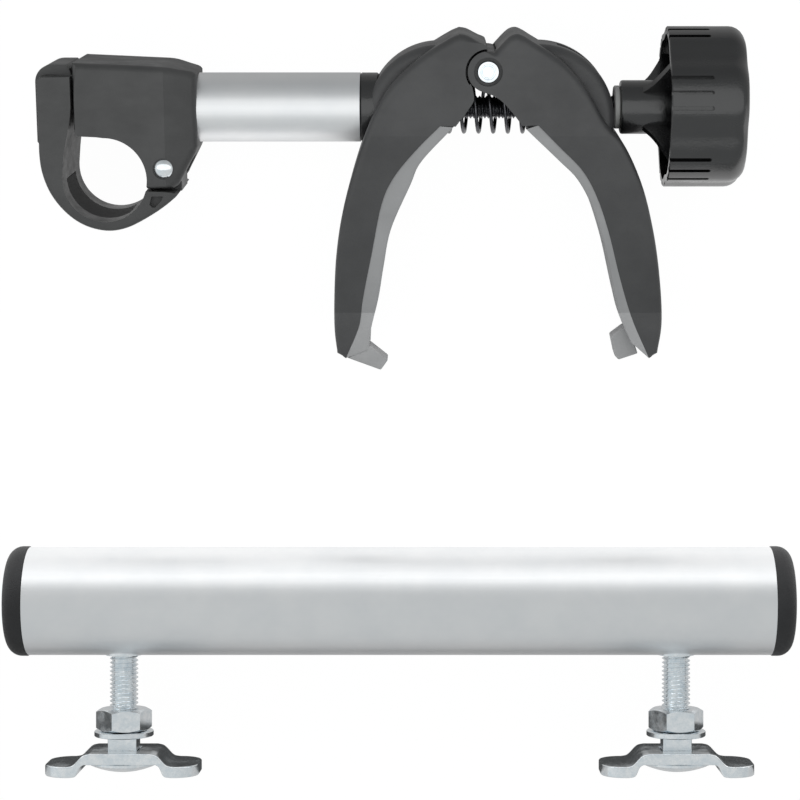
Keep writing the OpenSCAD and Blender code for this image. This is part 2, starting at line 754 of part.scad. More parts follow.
module right_claw() {
    seat = seat_left + spring_len + seat_gap - pin_x;
    color([0.24, 0.24, 0.25]) on_arm() difference() {
        union() {
            intersection() {
                slab(claw_w) right_claw_outline();
                depth_taper(claw_w, tip_w);
            }
            slab(shoulder_w) intersection() {
                translate([shoulder_x, shoulder_y]) circle(r = shoulder_r, $fn = 96);
                translate([pin_x, pin_rise])
                    polygon([[16, 14], [60, 14], [60, -33], [42, -33], [30, -26], [16, -8]]);
            }
        }
        slab(2 * rod_r + 1.2) rod_sweep(rod_r + 0.5);
        slab(2 * cavity_r) translate([pin_x, pin_rise]) polygon([
            [-8, -30], [seat, -26], [seat, -8], [seat - 4, -0.5], [10.5, 3.6], [7, 0], [0, 0]]);
        slab(2 * inner_half + 0.8) translate([pin_x, pin_rise]) {
            circle(r = knuckle_r + knuckle_clear);
            polygon([[-16, 20], [-16, -20], [0, -20], [0, 8], [2, 20]]);
        }
        translate([pin_x, pin_rise, 0]) cylinder(h = 60, r = pin_d / 2 + run_gap, center = true);
        for (flip = [0, 1]) mirror([0, 0, flip])
            translate([pin_x, pin_rise, claw_half - 1.5]) cylinder(h = 5, r = 4.9);
    }
}

module right_claw_pad() {
    color([0.62, 0.62, 0.63]) on_arm() {
        difference() {
            pad(right_pad_points, claw_w - 0.6);
            rod_x(seat_left, pin_x + 30, cavity_r);
        }
        slab(8) translate([pin_x, pin_rise]) polygon([
            [48.6, -91.6], [44.2, -95.2], [45.7, -101.9], [47.2, -103.5], [54, -101.2], [51, -94]]);
    }
}

module thrust_washer() {
    color([0.8, 0.8, 0.8]) on_arm() difference() {
        rod_x(thrust_x, thrust_x + thrust_t, thrust_d / 2);
        rod_x(thrust_x - 1, thrust_x + thrust_t + 1, rod_r + run_gap);
    }
}

// Knob
module knob_outline(inset) {
    valley_r = 16;
    reach = knob_r - valley + valley_r;
    difference() {
        circle(r = knob_r - inset, $fn = 96);
        for (i = [0:lobes - 1]) rotate(180 - lobe_turn + 360 * (i + 0.5) / lobes)
            translate([reach, 0]) circle(r = valley_r + inset);
    }
}

module knob_body() {
    color([0.13, 0.13, 0.14]) on_arm() difference() {
        union() {
            rod_x(hub_x, grip_x + insert_reach, hub_d / 2);
            translate([grip_x, 0, 0]) rotate([0, 90, 0])
                linear_extrude(height = 2.4) knob_outline(knob_wall + 0.3);
            for (i = [0:webs - 1]) rotate([360 * (i + 0.5) / webs, 0, 0])
                slab(2.2) polygon([[hub_x + 7.5, 0], [hub_x + 7.5, hub_d / 2],
                    [grip_x + 0.5, knob_r - 2.5 - knob_wall], [grip_x + 1, 0]]);
        }
        rod_x(hub_x - 1, grip_x + 20, rod_r + 0.25);
        rod_x(grip_x - 2, grip_x + 20, insert_r);
    }
}

module knob_cap() {
    color([0.12, 0.12, 0.13]) on_arm() translate([grip_x, 0, 0]) difference() {
        intersection() {
            rotate([0, 90, 0]) linear_extrude(height = knob_len) knob_outline(0);
            rotate([0, 90, 0]) rotate_extrude($fn = 96) polygon(concat(
                [[0, 0], [knob_r + 1, 0]],
                arc(knob_r + 0.4 - knob_round, knob_len - 2.1 - knob_round, knob_round, 0, 70, 6),
                [[0, knob_len]]));
        }
        translate([-1, 0, 0]) rotate([0, 90, 0])
            linear_extrude(height = knob_len - cap_roof + 1) knob_outline(knob_wall);
        for (i = [0:lobes - 1], j = [-1:1])
            rotate([-(360 * i / lobes + lobe_turn + groove_turn * j), 0, 0])
                translate([-1, -groove_w / 2, knob_r - 0.9]) cube([groove_len + 1, groove_w, 4]);
    }
}

module knob_insert() {
    color([0.75, 0.62, 0.3]) on_arm() difference() {
        rod_x(grip_x - 1.8, grip_x + insert_reach, insert_r);
        rod_x(grip_x - 3, grip_x + insert_reach + 1, rod_r + run_gap);
    }
}

bar_tube();
left_end_cap();
right_end_cap();
left_tube_insert();
right_tube_insert();
left_foot_bolt();
right_foot_bolt();
left_track_plate();
right_track_plate();
left_foot_washer();
right_foot_washer();
left_foot_nut();
right_foot_nut();
clamp_housing();
hook_hinge_rivet();
arm_tube();
tube_plug();
clamp_hook();
hook_liner();
latch_pin();
latch_lever();
tube_collar();
left_claw();
left_claw_pad();
claw_hinge_pin();
clamp_rod();
claw_spring();
right_claw();
right_claw_pad();
thrust_washer();
knob_body();
knob_cap();
knob_insert();
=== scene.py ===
"""Looks of a track-mounted bike holder: a rack bar on two track feet and a loose clamp arm."""
import json
import math

import bmesh
import bpy
from mathutils import Matrix, Vector


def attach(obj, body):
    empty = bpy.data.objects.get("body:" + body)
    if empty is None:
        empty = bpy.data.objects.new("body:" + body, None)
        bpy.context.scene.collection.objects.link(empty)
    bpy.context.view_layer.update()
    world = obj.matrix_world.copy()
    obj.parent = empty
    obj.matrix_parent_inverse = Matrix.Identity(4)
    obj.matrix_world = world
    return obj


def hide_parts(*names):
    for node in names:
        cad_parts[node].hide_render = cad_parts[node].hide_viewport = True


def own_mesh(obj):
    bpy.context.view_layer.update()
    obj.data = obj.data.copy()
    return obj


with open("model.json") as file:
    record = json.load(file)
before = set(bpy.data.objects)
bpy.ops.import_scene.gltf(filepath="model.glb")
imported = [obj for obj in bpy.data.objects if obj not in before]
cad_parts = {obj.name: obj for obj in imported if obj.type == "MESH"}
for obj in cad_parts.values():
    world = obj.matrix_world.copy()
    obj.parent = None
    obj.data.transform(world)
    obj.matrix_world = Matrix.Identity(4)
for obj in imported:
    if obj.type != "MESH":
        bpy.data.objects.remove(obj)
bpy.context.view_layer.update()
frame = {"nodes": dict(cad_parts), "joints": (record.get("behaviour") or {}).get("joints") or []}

MM = 0.001
TURN = 2 * math.pi
JOINTS = {joint["name"]: joint for joint in frame["joints"]}

# Shading: areas in square millimetres, slivers in area per millimetre of edge, angles in degrees
LARGE_FACE = 12.0
SLIVER = 0.05
ALMOST_FLAT = 2
MOULD_FLAT = 0.05

# Camera: focal length and principal point in pixels of the 800 x 800 picture
IMAGE = 800
FOCAL = 2300
PRINCIPAL = (440, 385)
CAMERA = (0.01413, 0.00457, 0.832)

# Sizes in millimetres that the solids and the photograph share
BAR_R = 19.0
BAR_WALL = 1.6
BAR_HALF = 130.7
CAP_R = 19.3
CAP_LEN = 7.8
CAP_ROUND = 5.0
CAP_DOME = 0.5
CAP_INSIDE = 16.0
BOLT_R = 5.0
BOLT_PITCH = 1.5
BOLT_LEN = 50.0
BOLT_HEAD_R = 12.25
NECK = 10.2
NECK_H = 4.6
WASHER_R = 10.4
WASHER_H = 2.0
NUT_FLAT = 8.5
NUT_H = 7.7
STACK_GAP = 0.05
PLATE_TOP = 52.2
PLATE_T = 3.9
PLATE_RISE = 4.5
PLATE_W = 25.0
PLATE_HALF = 27.0
PLATE_CORNER = 8.0
RING_R = 14.5
RING_DROP = 23.0
RING_W = 39.2
TUBE_R = 12.0
TUBE_END = 87.5
COLLAR_W = 6.6
COLLAR_END = TUBE_END + COLLAR_W
PIN_X = 131.7
PIN_Y = 13.9
CLAW_W = 37.0
TIP_W = 17.0
TIP_DROP = 88.0
SEAT_LEFT = PIN_X - 18.7
TIGHT_BORE = 2.5
LOOSE_BORE = 2.58
SPRING_LEN = 41.0
SPRING_R = 9.3
WIRE_R = 0.65
SPRING_TURNS = 7.5
SPRING_PHASE = -120
ROD_R = 4.0
ROD_PITCH = 1.25
ROD_START = 60.3
ROD_END = 201.2
THRUST_X = 175.8
THRUST_T = 2.1
HUB_X = 178.0
HUB_R = 9.35
HUB_LEN = 15.6
KNOB_R = 28.3
KNOB_LEN = 28.3
KNOB_WALL = 2.6
LOBES = 6
LOBE_ANGLE = 16
VALLEY = 1.9
GROOVE_ANGLE = 10.7
GROOVE_LEN = 13.6
GROOVE_HALF = 0.75


def arm_frame():
    """The arm's own frame: millimetres, origin on the tube's axis above the ring's middle."""
    swivel = Vector(JOINTS["head_swivel"]["pos_m"])
    lean = JOINTS["hook_swing"]["axis"]
    roll = math.atan2(-lean[1], lean[2])
    return Matrix.Translation(swivel / MM - Vector((90, 0, 0))) @ Matrix.Rotation(roll, 4, "X")


def bar_frame(name=None):
    """The bar's own frame, or that of the left or right foot."""
    place = Vector(JOINTS["left_foot_turn"]["pos_m"])
    place.x = JOINTS[name + "_foot_turn"]["pos_m"][0] if name else 0
    return Matrix.Translation(place / MM)


ARM = arm_frame()
BAR = bar_frame()
X_AXIS = Matrix.Rotation(math.pi / 2, 4, "Y")
DOWN_Y = Matrix.Rotation(math.pi / 2, 4, "X")


# Node materials

def node(tree, kind, **inputs):
    made = tree.nodes.new("ShaderNode" + kind)
    for key, value in inputs.items():
        made.inputs[key.replace("_", " ")].default_value = value
    return made


def shader(name, colour, roughness, metallic=0.0):
    """A new material with its Principled shader, and object coordinates in metres."""
    material = bpy.data.materials.new(name)
    material.use_nodes = True
    tree = material.node_tree
    bsdf = tree.nodes["Principled BSDF"]
    bsdf.inputs["Base Color"].default_value = (*colour, 1)
    bsdf.inputs["Roughness"].default_value = roughness
    bsdf.inputs["Metallic"].default_value = metallic
    coords = node(tree, "TexCoord").outputs["Object"]
    return material, tree, bsdf, coords


def stretched(tree, coords, scale):
    mapping = node(tree, "Mapping")
    mapping.inputs["Scale"].default_value = scale
    tree.links.new(coords, mapping.inputs["Vector"])
    return mapping.outputs["Vector"]


def noise_of(tree, vector, scale, detail, rough=0.6):
    made = node(tree, "TexNoise", Scale=scale, Detail=detail, Roughness=rough)
    tree.links.new(vector, made.inputs["Vector"])
    return made.outputs["Fac"]


def ramp(tree, factor, low, high, start=0.35, end=0.65):
    """Maps a factor from start to end onto low to high, and no further."""
    made = node(tree, "MapRange")
    made.inputs["From Min"].default_value = start
    made.inputs["From Max"].default_value = end
    made.inputs["To Min"].default_value = low
    made.inputs["To Max"].default_value = high
    tree.links.new(factor, made.inputs["Value"])
    return made.outputs["Result"]


def tint(tree, factor, dark, light, bsdf):
    """Colour that drifts between two near tones."""
    mix = node(tree, "Mix")
    mix.data_type = "RGBA"
    mix.inputs["A"].default_value = (*dark, 1)
    mix.inputs["B"].default_value = (*light, 1)
    tree.links.new(factor, mix.inputs["Factor"])
    tree.links.new(mix.outputs["Result"], bsdf.inputs["Base Color"])


def bump(tree, height, bsdf, strength, distance):
    made = node(tree, "Bump", Strength=strength, Distance=distance)
    tree.links.new(height, made.inputs["Height"])
    tree.links.new(made.outputs["Normal"], bsdf.inputs["Normal"])


def maths(tree, operation, *values, clamp=False):
    """A math node whose inputs are numbers or sockets."""
    made = node(tree, "Math")
    made.operation = operation
    made.use_clamp = clamp
    for socket, value in zip(made.inputs, values):
        if isinstance(value, bpy.types.NodeSocket):
            tree.links.new(value, socket)
        else:
            socket.default_value = value
    return made.outputs[0]


def moulded(name, dark, light, roughness, grain=1400, depth=0.00012, strength=0.35, scuffs=True,
            level=0.5):
    """Moulded plastic: fine grain, slow drift of tone, a few paler scuffs."""
    material, tree, bsdf, coords = shader(name, light, roughness)
    bsdf.inputs["Specular IOR Level"].default_value = level
    drift = noise_of(tree, coords, 45, 4)
    tint(tree, ramp(tree, drift, 0, 1), dark, light, bsdf)
    fine = noise_of(tree, coords, grain, 2)
    bump(tree, fine, bsdf, strength, depth)
    if scuffs:
        smear = noise_of(tree, stretched(tree, coords, (60, 140, 60)), 1.5, 5, 0.7)
        tree.links.new(ramp(tree, smear, roughness + 0.06, roughness - 0.08), bsdf.inputs["Roughness"])
    return material


def anodised():
    """Satin anodised tube: drawn lines along X and a soft mottle."""
    material, tree, bsdf, coords = shader("anodised_tube", (0.8, 0.81, 0.82), 0.34, 1.0)
    lines = noise_of(tree, stretched(tree, coords, (12, 2600, 2600)), 1.0, 3)
    cloud = noise_of(tree, coords, 60, 3)
    tint(tree, ramp(tree, cloud, 0, 1), (0.79, 0.8, 0.81), (0.83, 0.835, 0.84), bsdf)
    tree.links.new(ramp(tree, lines, 0.4, 0.46), bsdf.inputs["Roughness"])
    bump(tree, lines, bsdf, 0.06, 0.00002)
    return material


def plated(name, dark, light, roughness=0.25):
    """Zinc plate: bright, faintly blue, with a crystalline mottle."""
    material, tree, bsdf, coords = shader(name, light, roughness, 1.0)
    mottle = noise_of(tree, coords, 420, 4, 0.7)
    tint(tree, ramp(tree, mottle, 0, 1), dark, light, bsdf)
    tree.links.new(ramp(tree, noise_of(tree, coords, 160, 3), roughness - 0.06, roughness + 0.12),
                   bsdf.inputs["Roughness"])
    bump(tree, noise_of(tree, coords, 900, 3), bsdf, 0.25, 0.00005)
    return material


def rubber(name, dark, light):
    """Matt rubber: a slow drift of tone and a very fine grain."""
    material, tree, bsdf, coords = shader(name, light, 0.75)
    bsdf.inputs["Specular IOR Level"].default_value = 0.3
    tint(tree, ramp(tree, noise_of(tree, coords, 30, 4), 0, 1), dark, light, bsdf)
    bump(tree, noise_of(tree, coords, 1900, 3), bsdf, 0.3, 0.0001)
    return material


MATERIALS = {
    "anodised": anodised(),
    "grained_plastic": moulded("grained_cap", (0.008, 0.008, 0.009), (0.018, 0.018, 0.02), 0.55,
                               2300, 0.0003, 0.8, False),
    "zinc": plated("zinc_plate", (0.8, 0.86, 0.9), (0.97, 0.99, 1.0), 0.15),
    "housing_plastic": moulded("housing_plastic", (0.045, 0.045, 0.045), (0.06, 0.06, 0.06), 0.5),
    "claw_plastic": moulded("claw_plastic", (0.045, 0.045, 0.046), (0.06, 0.06, 0.061), 0.46),
    "black_plastic": moulded("black_plastic", (0.002, 0.002, 0.0022), (0.005, 0.005, 0.0054), 0.22,
                             level=0.95),
    "liner_rubber": rubber("liner_rubber", (0.045, 0.045, 0.045), (0.055, 0.055, 0.055)),
    "pad_rubber": rubber("pad_rubber", (0.3, 0.3, 0.302), (0.36, 0.36, 0.362)),
    "spring_steel": plated("spring_steel", (0.06, 0.06, 0.065), (0.14, 0.14, 0.15), 0.22),
    "washer_nylon": moulded("washer_nylon", (0.3, 0.3, 0.29), (0.38, 0.38, 0.37), 0.45, 900),
    "brass": plated("brass", (0.6, 0.44, 0.18), (0.72, 0.55, 0.25)),
}


# Mesh building

def solid(bm, place, name="piece"):
    """Makes an object of a bmesh in millimetres, placed by a matrix, at the origin."""
    bmesh.ops.recalc_face_normals(bm, faces=bm.faces)
    mesh = bpy.data.meshes.new(name)
    bm.to_mesh(mesh)
    bm.free()
    mesh.transform(place)
    obj = bpy.data.objects.new(name, mesh)
    bpy.context.scene.collection.objects.link(obj)
    return obj


def baked(obj):
    """Applies the modifiers."""
    graph = bpy.context.evaluated_depsgraph_get()
    mesh = bpy.data.meshes.new_from_object(obj.evaluated_get(graph))
    obj.modifiers.clear()
    obj.data = mesh
    return obj


def merge_flat(mesh, angle):
    """Merges the faces that lie flat to each other, splits them again and drops what folded over.
    Returns the normal and the area that each face had while merged."""
    bm = bmesh.new()
    bm.from_mesh(mesh)
    bmesh.ops.dissolve_degenerate(bm, dist=0.0005, edges=bm.edges[:])
    bmesh.ops.dissolve_limit(bm, angle_limit=math.radians(angle), verts=bm.verts[:], edges=bm.edges[:])
    whole = bm.faces.layers.int.new("whole")
    merged = []
    for face in bm.faces:
        face[whole] = len(merged)
        merged.append((face.normal.copy(), face.calc_area()))
    wide = [face for face in bm.faces if len(face.verts) > 4]
    bmesh.ops.triangulate(bm, faces=wide, ngon_method="BEAUTY")
    folded = [face for face in bm.faces if face.normal.dot(merged[face[whole]][0]) < 0]
    bmesh.ops.delete(bm, geom=folded, context="FACES")
    bm.to_mesh(mesh)
    bm.free()
    known = [merged[item.value] for item in mesh.attributes["whole"].data]
    mesh.attributes.remove(mesh.attributes["whole"])
    return known


def smooth(obj, angle=32, flat=0.0):
    """Smooth normals, weighted by area, across creases up to the angle. A large face blends only
    with what is almost flat to it, and a sliver takes the normal of the face on its longest edge.
    With flat given, faces that differ by less than that angle are merged first."""
    mesh = obj.data
    if flat:
        known = merge_flat(mesh, flat)
    else:
        known = [(face.normal.copy(), face.area) for face in mesh.polygons]
    mesh.shade_smooth()
    facing = [normal for normal, area in known]
    sizes = [area for normal, area in known]
    around = [[] for _ in mesh.vertices]
    beside = {}
    for face in mesh.polygons:
        for vertex in face.vertices:
            around[vertex].append(face.index)
        for key in face.edge_keys:
            beside.setdefault(key, []).append(face.index)
    for face in mesh.polygons:
        length, key = max(((mesh.vertices[a].co - mesh.vertices[b].co).length, (a, b))
                          for a, b in face.edge_keys)
        if len(face.vertices) == 3 and sizes[face.index] < SLIVER * length:
            others = [other for other in beside[key] if other != face.index]
            if others:
                facing[face.index] = facing[others[0]]
                sizes[face.index] = sizes[others[0]]
    soft, stiff = math.cos(math.radians(angle)), math.cos(math.radians(ALMOST_FLAT))
    normals = []
    for face in mesh.polygons:
        own = facing[face.index]
        least = stiff if sizes[face.index] > LARGE_FACE else soft
        for vertex in face.vertices:
            total = own * sizes[face.index]
            for other in around[vertex]:
                if other != face.index and facing[other].dot(own) > least:
                    total = total + facing[other] * sizes[other]
            normals.append(total.normalized())
    mesh.normals_split_custom_set(normals)
    return obj


def boolean(obj, tools, operation="DIFFERENCE"):
    """Cuts or joins tools, which are used up."""
    for tool in tools:
        modifier = obj.modifiers.new("cut", "BOOLEAN")
        modifier.operation = operation
        modifier.solver = "MANIFOLD"
        modifier.object = tool
        baked(obj)
        bpy.data.objects.remove(tool)
    return obj


def dress(obj, name, slot, body, *nodes):
    """Names a finished piece and brings it to metres, with its material, its body and the nodes that
    it stands for."""
    obj.name = name
    obj.data.transform(Matrix.Scale(MM, 4))
    obj.data.materials.clear()
    obj.data.materials.append(MATERIALS[slot])
    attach(obj, body)
    if nodes:
        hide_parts(*nodes)


def arc(cx, cy, r, start, end, steps):
    """Points on an arc, angles in degrees, both ends included."""
    angles = [math.radians(start + (end - start) * i / steps) for i in range(steps + 1)]
    return [(cx + r * math.cos(a), cy + r * math.sin(a)) for a in angles]


def flow(points, steps):
    """A smooth open curve through points (centripetal Catmull-Rom)."""
    pts = [Vector(p) for p in points]
    pts = [2 * pts[0] - pts[1]] + pts + [2 * pts[-1] - pts[-2]]
    out = []
    for i in range(1, len(pts) - 2):
        p = pts[i - 1:i + 3]
        t = [0.0]
        for a, b in zip(p, p[1:]):
            t.append(t[-1] + max((b - a).length, 1e-6) ** 0.5)
        for k in range(steps):
            s = t[1] + (t[2] - t[1]) * k / steps
            a1 = p[0].lerp(p[1], (s - t[0]) / (t[1] - t[0]))
            a2 = p[1].lerp(p[2], (s - t[1]) / (t[2] - t[1]))
            a3 = p[2].lerp(p[3], (s - t[2]) / (t[3] - t[2]))
            b1 = a1.lerp(a2, (s - t[0]) / (t[2] - t[0]))
            b2 = a2.lerp(a3, (s - t[1]) / (t[3] - t[1]))
            out.append(tuple(b1.lerp(b2, (s - t[1]) / (t[2] - t[1]))))
    return out + [tuple(points[-1])]


def tidy_loop(points):
    """Drops points that repeat."""
    least = 0.02
    out = []
    for p in points:
        if not out or (Vector(p) - Vector(out[-1])).length > least:
            out.append(p)
    if (Vector(out[0]) - Vector(out[-1])).length <= least:
        out.pop()
    return out


def slab(outline, half):
    """A bmesh prism of an outline in X and Y, from -half to half in Z."""
    bm = bmesh.new()
    loop = tidy_loop(outline)
    low = [bm.verts.new((x, y, -half)) for x, y in loop]
    high = [bm.verts.new((x, y, half)) for x, y in loop]
    bm.faces.new(low)
    bm.faces.new(high)
    for i in range(len(loop)):
        j = (i + 1) % len(loop)
        bm.faces.new((low[i], low[j], high[j], high[i]))
    bmesh.ops.recalc_face_normals(bm, faces=bm.faces)
    return bm


def loft(bm, rings):
    """Skins closed rings of vertices, one after the other, and caps both ends."""
    for a, b in zip(rings, rings[1:]):
        for i in range(len(a)):
            j = (i + 1) % len(a)
            bm.faces.new((a[i], a[j], b[j], b[i]))
    bm.faces.new(rings[0])
    bm.faces.new(rings[-1])


def weights_near(loop, path, reach):
    """1 for the points of a loop that lie on a path, 0 elsewhere, eased over a few points."""
    raw = [float(min((Vector(p) - Vector(q)).length for q in path) < reach) for p in loop]
    count = len(raw)
    around = range(-2, 3)
    return [sum(raw[(i + k) % count] for k in around) / len(around) for i in range(count)]


def inset_of(loop, weights, depth):
    """The loop drawn inward by depth times the weight, less where it bends tightly."""
    count = len(loop)
    area = sum(a[0] * b[1] - b[0] * a[1] for a, b in zip(loop, loop[1:] + loop[:1]))
    way = 1 if area > 0 else -1
    out = []
    for i, p in enumerate(loop):
        a, b = Vector(loop[i - 1]), Vector(loop[(i + 1) % count])
        p = Vector(p)
        before, after = (p - a).normalized(), (b - p).normalized()
        tangent = (before + after).normalized()
        normal = Vector((-tangent.y, tangent.x)) * way
        bend = way * (before.x * after.y - before.y * after.x)
        room = (b - a).length / 2 / max(bend, 1e-3) if bend > 0 else 1e3
        out.append(tuple(p + normal * min(depth * weights[i], 0.8 * room)))
    return out


def unfold(points):
    """The same loop with its folds drawn in, where the inset is deeper than a corner allows."""
    points = [Vector(point) for point in points]
    for _ in range(12):
        for k in range(len(points)):
            into, out = points[k] - points[k - 1], points[(k + 1) % len(points)] - points[k]
            if into.dot(out) < -0.35 * into.length * out.length:
                points[k] = (points[k - 1] + points[(k + 1) % len(points)]) / 2
    return points


def rounded_slab(outline, half, radius, path, layers=6, reach=1.3):
    """A slab whose two rims are rounded along a path of its outline."""
    loop = tidy_loop(outline)
    weights = weights_near(loop, path, reach)
    levels = []
    for k in range(layers + 1):
        a = math.pi / 2 * k / layers
        levels.append((-half + radius * (1 - math.cos(a)), radius * (1 - math.sin(a))))
    levels += [(-z, depth) for z, depth in reversed(levels)]
    bm = bmesh.new()
    rings = []
    for z, depth in levels:
        ring = unfold(inset_of(loop, weights, depth))
        rings.append([bm.verts.new((x, y, z)) for x, y in ring])
    loft(bm, rings)
    bmesh.ops.recalc_face_normals(bm, faces=bm.faces)
    return bm


def crease(bm, point, normal):
    """Splits the faces along a plane."""
    everything = bm.verts[:] + bm.edges[:] + bm.faces[:]
    bmesh.ops.bisect_plane(bm, geom=everything, plane_co=point, plane_no=normal, dist=1e-5)


def round_rim(bm, width):
    """Rounds every edge between the sides and the two big faces."""
    picked = []
    for edge in bm.edges:
        upright = [abs(face.normal.z) for face in edge.link_faces]
        if len(upright) == 2 and min(upright) < 0.5 < max(upright):
            picked.append(edge)
    bmesh.ops.bevel(bm, geom=picked, offset=width, segments=2, profile=0.5, affect="EDGES",
                    clamp_overlap=False)


def lathe(profile, steps=64):
    """A bmesh turned about Z from (radius, height) points; a radius of 0 closes it."""
    bm = bmesh.new()
    angles = [TURN * i / steps for i in range(steps)]
    rings = []
    for r, z in profile:
        if r < 1e-6:
            rings.append([bm.verts.new((0, 0, z))])
        else:
            rings.append([bm.verts.new((r * math.cos(a), r * math.sin(a), z)) for a in angles])
    pairs = list(zip(rings, rings[1:]))
    if len(rings[0]) > 1:
        pairs.append((rings[-1], rings[0]))
    for a, b in pairs:
        for i in range(steps):
            j = (i + 1) % steps
            if len(a) == 1 and len(b) == 1:
                continue
            if len(a) == 1:
                bm.faces.new((a[0], b[i], b[j]))
            elif len(b) == 1:
                bm.faces.new((a[i], a[j], b[0]))
            else:
                bm.faces.new((a[i], a[j], b[j], b[i]))
    return bm


def bushing(r_out, r_in, z0, z1, edge, steps=64):
    """A ring with broken edges."""
    return lathe([(r_in, z0 + edge), (r_in + edge, z0), (r_out - edge, z0), (r_out, z0 + edge),
                  (r_out, z1 - edge), (r_out - edge, z1), (r_in + edge, z1), (r_in, z1 - edge)], steps)


def thread(radius, pitch, z0, z1, depth, steps=36, per_turn=12):
    """A threaded rod along Z: rings whose radius follows a flattened V along the helix."""
    bm = bmesh.new()
    count = max(2, int(round((z1 - z0) / pitch * per_turn)))
    rings = []
    for k in range(count + 1):
        z = z0 + (z1 - z0) * k / count
        fade = min(1.0, (z - z0) / pitch + 0.15, (z1 - z) / pitch + 0.15)
        ring = []
        for i in range(steps):
            phase = (z / pitch - i / steps) % 1.0
            dip = min(max((1 - abs(2 * phase - 1) - 0.125) / 0.7, 0), 1)
            r = radius - depth * (dip * fade + (1 - fade) * 0.6)
            a = TURN * i / steps
            ring.append(bm.verts.new((r * math.cos(a), r * math.sin(a), z)))
        rings.append(ring)
    loft(bm, rings)
    return bm


def cylinder(r, z0, z1, steps):
    return lathe([(0, z0), (r, z0), (r, z1), (0, z1)], steps)


def drill(r, start, end, steps=64):
    """A round tool along the arm's axis."""
    return solid(cylinder(r, start, end, steps), ARM @ X_AXIS)


def bore(radius, place):
    """A tool for the hole of a hinge's pin, through the whole width."""
    return solid(cylinder(radius, -30, 30, 40), place)


def sinks(radius, half, depth, place, steps):
    """Tools for a round sink in each of the two sides."""
    sink = (radius, half - depth, half + 3, steps)
    return [solid(cylinder(*sink), place @ Matrix.Rotation(turn, 4, "X")) for turn in (math.pi, 0)]


def dome(r, height, z0):
    """Profile points of a spherical cap that stands on z0."""
    steps = 8
    ball = (r * r + height * height) / (2 * height)
    edge = math.acos(r / ball)
    angles = [edge + (math.pi / 2 - edge) * i / steps for i in range(steps)]
    cap = [(ball * math.cos(a), z0 + height - ball + ball * math.sin(a)) for a in angles]
    return cap + [(0, z0 + height)]


def hexagon(corner, turn=0):
    """Corners of a hexagon, turned by an angle in degrees."""
    angles = [math.radians(60 * i + turn) for i in range(6)]
    return [(corner * math.cos(a), corner * math.sin(a)) for a in angles]


def square(half):
    return [(-half, -half), (half, -half), (half, half), (-half, half)]


# End caps

def end_cap(side):
    """The cap of the bar's left (-1) or right (1) end, with its plug in the tube."""
    place = BAR @ Matrix.Translation((side * BAR_HALF, 0, 0)) @ Matrix.Rotation(side * math.pi / 2, 4, "Y")
    plug = BAR_R - BAR_WALL
    profile = [(0, -CAP_INSIDE), (plug - 3, -CAP_INSIDE), (plug - 0.7, -CAP_INSIDE + 4), (plug - 0.05, -0.05),
               (CAP_R - 0.35, 0.02), (CAP_R, 0.4)]
    profile += arc(CAP_R - CAP_ROUND, CAP_LEN - CAP_DOME - CAP_ROUND, CAP_ROUND, 0, 78, 12)
    profile += [(r, CAP_LEN - CAP_DOME * (r / 15) ** 2) for r in (13, 10, 7, 4)] + [(0, CAP_LEN)]
    name = "left_end_cap" if side < 0 else "right_end_cap"
    cap = smooth(solid(lathe(profile, 96), place), 50)
    dress(cap, name + "_grained", "grained_plastic", "bar", name)


for side in (-1, 1):
    end_cap(side)


# Feet

WASHER_TOP = PLATE_TOP - NECK_H - WASHER_H
NECK_TOP = WASHER_TOP + WASHER_H
PLATE_UNDER = PLATE_TOP + PLATE_T


def foot_bolt(name, place):
    """A threaded shank, a square neck and a domed head."""
    shank = thread(BOLT_R, BOLT_PITCH, PLATE_UNDER - BOLT_LEN, NECK_TOP + 0.1, 0.85)
    shank = smooth(solid(shank, place), 40)
    neck = slab(square(NECK / 2), (PLATE_UNDER - NECK_TOP) / 2)
    bmesh.ops.bevel(neck, geom=neck.edges[:], offset=0.5, segments=2, affect="EDGES", profile=0.5)
    neck = smooth(solid(neck, place @ Matrix.Translation((0, 0, (PLATE_UNDER + NECK_TOP) / 2))), 40)
    flat = BOLT_HEAD_R - 0.25
    head = [(0, PLATE_UNDER - 0.02), (flat, PLATE_UNDER - 0.02), (BOLT_HEAD_R, PLATE_UNDER + 0.25),
            (BOLT_HEAD_R, PLATE_UNDER + 0.9)] + dome(flat, 2.75, PLATE_UNDER + 1.25)
    head = smooth(solid(lathe(head), place), 50)
    bolt = boolean(shank, [neck, head], "UNION")
    dress(bolt, name + "_foot_bolt_threaded", "zinc", name + "_foot", name + "_foot_bolt")


def foot_washer(name, place):
    ring = bushing(WASHER_R, BOLT_R + 0.3, WASHER_TOP + STACK_GAP, WASHER_TOP + WASHER_H - STACK_GAP, 0.25)
    washer = smooth(solid(ring, place), 40)
    dress(washer, name + "_foot_washer_turned", "zinc", name + "_washer", name + "_foot_washer")


def foot_nut(name, place, turn):
    """A hexagon with its corners turned off and a countersunk bore."""
    low = WASHER_TOP - NUT_H
    thick = NUT_H - STACK_GAP
    high = low + thick
    corner = NUT_FLAT / math.cos(math.pi / 6)
    rim = corner + 0.1
    nut = solid(slab(hexagon(corner, turn), thick / 2), place @ Matrix.Translation((0, 0, low + thick / 2)))
    rounder = lathe([(0, low), (8.1, low), (rim, low + 1.05), (rim, high - 1.05), (8.1, high), (0, high)], 72)
    nut = boolean(nut, [solid(rounder, place)], "INTERSECT")
    hole = cylinder(BOLT_R + 0.12, low - 2, low + 10, 48)
    sink = lathe([(0, low - 1), (6.2, low - 1), (4.6, low + 1), (0, low + 1)], 48)
    nut = boolean(nut, [solid(hole, place), solid(sink, place)])
    dress(smooth(nut, 25), name + "_foot_nut_chamfered", "zinc", name + "_nut", name + "_foot_nut")


